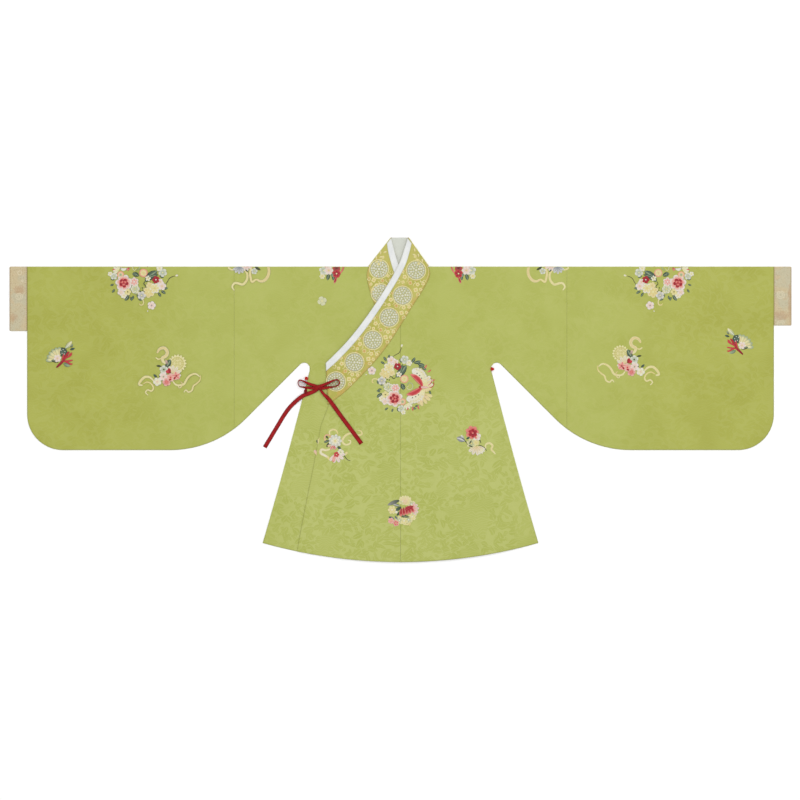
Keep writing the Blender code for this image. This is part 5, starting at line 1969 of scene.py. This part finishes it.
# The buttons' silk: the ribbon's red painted brighter and more orange, a painted highlight.
BUTTON_SILK_PAINTED_HIGHLIGHT = red_silk("button_silk", dyed(190, 44, 34), dyed(214, 62, 46))


def ribbon(name, path, width, lean):
    """A strip along (x, y, lowest height): middle + share of the width times the leaning cross-line."""
    along = np.gradient(path[:, :2], axis=0)
    along /= np.hypot(along[:, 0], along[:, 1])[:, None]
    side = np.stack([-along[:, 1], along[:, 0]], axis=-1)
    flat, rise = np.cos(lean)[:, None], np.sin(lean)[:, None]
    cross = np.concatenate([side * flat, rise], axis=1)
    facing = np.concatenate([-side * rise, flat], axis=1)
    centre = path.copy()
    centre[:, 2] += CLOTH / 2 * np.abs(flat[:, 0]) + width / 2 * rise[:, 0]
    share = np.array([-0.5, -0.43, -0.3, -0.1, 0.1, 0.3, 0.43, 0.5])
    bowed = 0.00022 * (np.abs(share) > 0.4) - 0.00018 * np.cos(share * np.pi)
    points = centre[:, None] + share[None, :, None] * (width[:, None] * cross)[:, None]
    points = points + bowed[None, :, None] * facing[:, None]
    run = np.concatenate([[0], np.linalg.norm(np.diff(path, axis=0), axis=1).cumsum()])
    place = np.stack(np.broadcast_arrays(run[:, None], share * RIBBON), axis=-1)
    edge = np.broadcast_to(smooth((np.abs(share) - 0.28) / 0.22) * 0.75, place.shape[:2])
    faces = grid_faces(*place.shape[:2])
    piece = make_object("ribbon_" + name, points, faces, place, RED_SILK, numbers=[("edge", edge)])
    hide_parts(name)
    thicken(piece)
    flat_area(points, faces)
    return piece


def tube(path, width, height):
    """A closed or open cord of elliptic section along a path, with its ends drawn together."""
    along = np.gradient(path, axis=0)
    along /= np.linalg.norm(along, axis=1)[:, None]
    side = np.cross([0.0, 0.0, 1.0], along)
    side /= np.linalg.norm(side, axis=1)[:, None]
    up = np.cross(along, side)
    angle = np.linspace(0, 2 * np.pi, 13)[None, :, None]
    over = width[:, None, None] * np.cos(angle) * side[:, None]
    return path[:, None] + (over + height[:, None, None] * np.sin(angle) * up[:, None])


CORD_STITCH = (0.0006, 0.0008)


def cord_object(name, tubes, edges, silk):
    """Several tubes as one object of silk."""
    faces = []
    start = 0
    for grid in tubes:
        faces.append(grid_faces(*grid.shape[:2])[:, ::-1] + start)
        start += grid.shape[0] * grid.shape[1]
    points = np.concatenate([grid.reshape(-1, 3) for grid in tubes])
    place = np.concatenate([
        (np.indices(grid.shape[:2]).transpose(1, 2, 0) * CORD_STITCH).reshape(-1, 2) for grid in tubes
    ])
    shaded = np.repeat(edges, [grid.shape[0] * grid.shape[1] for grid in tubes])
    piece = make_object(name, points, np.concatenate(faces), place, silk, numbers=[("edge", shaded)])
    return piece


def bow():
    """Loops and tails from their tables, and the knot: a wrap over two crossing turns."""
    ribbons = []
    for name, table in LOOPS.items():
        rows = curve_through(table, 5)
        ribbons.append(ribbon(name, rows[:, :3], np.full(len(rows), LOOP_WIDTH), np.radians(rows[:, 3])))
    for name, table in TAILS.items():
        rows = curve_through(table, 6)
        ribbons.append(ribbon(name, rows[:, :3], rows[:, 3], np.zeros(len(rows))))
    x, y = KNOT_AT
    floor = UNDER_COLLAR_AT
    tubes = []
    for path, half, height in KNOT_TURNS:
        line = curve_through(path, 5) + np.array([x, y, floor])
        swell = np.sqrt(np.sin(np.pi * np.linspace(0.06, 0.94, len(line))))
        tubes.append(tube(line, half * swell, height * swell))
    knot = cord_object("ribbon_knot", tubes, [0.15, 0.0, 0.3], RED_SILK)
    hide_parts("tie_knot")
    root = curve_through(RIBBON_ROOT, 5)
    swell = np.sqrt(np.sin(np.pi * np.linspace(0.1, 0.9, len(root))))
    cords = [knot, cord_object("ribbon_root", [tube(root, 0.0042 * swell, 0.0009 * swell)], [0.6], RED_SILK)]
    return ribbons, cords


RIBBONS, BOW_CORDS = bow()
print("ribbons", [piece.name for piece in RIBBONS + BOW_CORDS])

# %% [markdown]
# ## Side knots
#
# A small knotted button of the same silk sits at the top of each side seam; its silk is painted brighter and
# more orange, as a painted highlight on the small knot. A trefoil is the simplest
# closed knot: a point goes twice round a ring while it circles the ring's section three times.

# %% Knotted buttons
TACKS = {
    # name: (x, y)
    "side_tack_left": (0.2570, 0.0860),
    "side_tack_right": (-0.2635, 0.0594),
}


def knotted_button(name, at):
    """x and y: (ring + wave * cos 3a) times (cos 2a, sin 2a). Height: wave * sin 3a."""
    a = np.linspace(0, 2 * np.pi, 91)
    reach = 0.0027 + 0.0013 * np.cos(3 * a)
    height = UNDER_COLLAR_AT + 0.0022 + 0.0008 * np.sin(3 * a)
    path = np.stack([at[0] + 1.1 * reach * np.cos(2 * a), at[1] + reach * np.sin(2 * a), height], axis=-1)
    thick = np.full(len(a), 0.00125)
    piece = cord_object("knotted_" + name, [tube(path, thick, thick)], [0.0], BUTTON_SILK_PAINTED_HIGHLIGHT)
    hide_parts(name)
    return piece


BUTTONS = {name: knotted_button(name, at) for name, at in TACKS.items()}

# %% [markdown]
# ## Floor and light
#
# The floor is a large pale sheet of paper. The light is a white sky, which fills evenly, and one wide
# soft lamp from above, which gives the folds and raised stitches a gentle shade on one side.

# %% Floor, lamps and colours
SKY = 0.93
LAMP_POWER = 76.0


def pale_floor():
    material, tree, shader = new_finish("floor_paper", 0.9)
    shader.inputs["Base Color"].default_value = (0.95, 0.95, 0.95, 1.0)
    mesh = bpy.data.meshes.new("floor")
    reach = 9.0
    corners = [(-reach, -reach, 0), (reach, -reach, 0), (reach, reach, 0), (-reach, reach, 0)]
    mesh.from_pydata(corners, [], [(0, 1, 2, 3)])
    mesh.materials.append(material)
    floor = bpy.data.objects.new("floor", mesh)
    bpy.context.scene.collection.objects.link(floor)


def soft_light():
    world = bpy.data.worlds.new("sky")
    bpy.context.scene.world = world
    world.use_nodes = True
    sky = world.node_tree.nodes["Background"]
    sky.inputs["Color"].default_value = (1.0, 1.0, 1.0, 1.0)
    sky.inputs["Strength"].default_value = SKY
    lamp_data = bpy.data.lights.new("soft_lamp", "AREA")
    lamp_data.shape = "RECTANGLE"
    lamp_data.size, lamp_data.size_y = 4.0, 3.0
    lamp_data.energy = LAMP_POWER
    lamp = bpy.data.objects.new("soft_lamp", lamp_data)
    lamp.location = (0.7, 2.2, 4.6)
    lamp.rotation_euler = (np.radians(-25), np.radians(9), 0)
    lamp.visible_camera = False
    bpy.context.scene.collection.objects.link(lamp)


pale_floor()
soft_light()
bpy.context.scene.view_settings.view_transform = "Standard"

# %% [markdown]
# ## The solids that the pieces replace
#
# Last, the solid that each new piece stands for is hidden. The flat size of each body, sleeve and cuff is
# worked out, and a table lists the other flat pieces with their solid, finish, flat size, area and how they
# lie; nothing further is done with these.

# %% Hiding the replaced solids
def on_piece(kind, half):
    """The motifs stitched on one half's sleeve or body, by where their middle is."""
    left = HALVES[half]["sign"] > 0
    return [
        SEWN[name]
        for name, (parts, at, flip, turn) in EMBROIDERED.items()
        if (abs(at[0]) > SLEEVE_SEAM_X) == (kind == "sleeve") and (at[0] >= 0) == left
    ]


for half, (piece, area) in BODIES.items():
    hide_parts(f"body_{half}")
    size = (SLEEVE_SEAM_X, 2 * (SHOULDER_Y - HEM_Y))
    sewn_on = on_piece("body", half) + [BUTTONS[f"side_tack_{half}"]]
for half, (piece, area) in SLEEVES.items():
    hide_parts(f"sleeve_{half}")
    size = (SLEEVE_END_X - SLEEVE_SEAM_X, 2 * (SHOULDER_Y - SLEEVE_LOW_Y))
    on_piece("sleeve", half)
for half, (piece, area) in CUFFS.items():
    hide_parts(f"cuff_{half}")
    size = (CUFF_END_X - SLEEVE_END_X, 2 * (SHOULDER_Y - HALVES[half]["cuff_y"]))
FLAT_PIECES = [
    # (piece, its solid, its finish, flat size, area, how it lies)
    (OVERLAP_OUTER, "overlap_outer", "green_silk", (0.26, 0.60), OVERLAP_OUTER_AREA, "laid"),
    (OVERLAP_UNDER, "overlap_under", "green_silk", (0.20, 0.58), OVERLAP_UNDER_AREA, "laid"),
    (COLLAR, "collar", "collar_brocade", (0.12, COLLAR_LENGTH), COLLAR_AREA, "folded"),
    (GUARD_OUTER, "guard_outer", "white_cloth", (0.0225, GUARD_OUTER_LENGTH), GUARD_OUTER_AREA, "laid"),
    (GUARD_UNDER, "guard_under", "white_cloth", (0.0225, GUARD_UNDER_LENGTH), GUARD_UNDER_AREA, "laid"),
    (NECK_LINING, "collar_lining", "white_cloth", (0.116, 0.11), NECK_LINING_AREA, "laid"),
]
for piece, node, finish, size, area, held in FLAT_PIECES:
    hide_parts(node)
    sewn_on = [BAND_OUTER, BAND_UNDER] if piece is COLLAR else []
    min(area, size[0] * size[1])
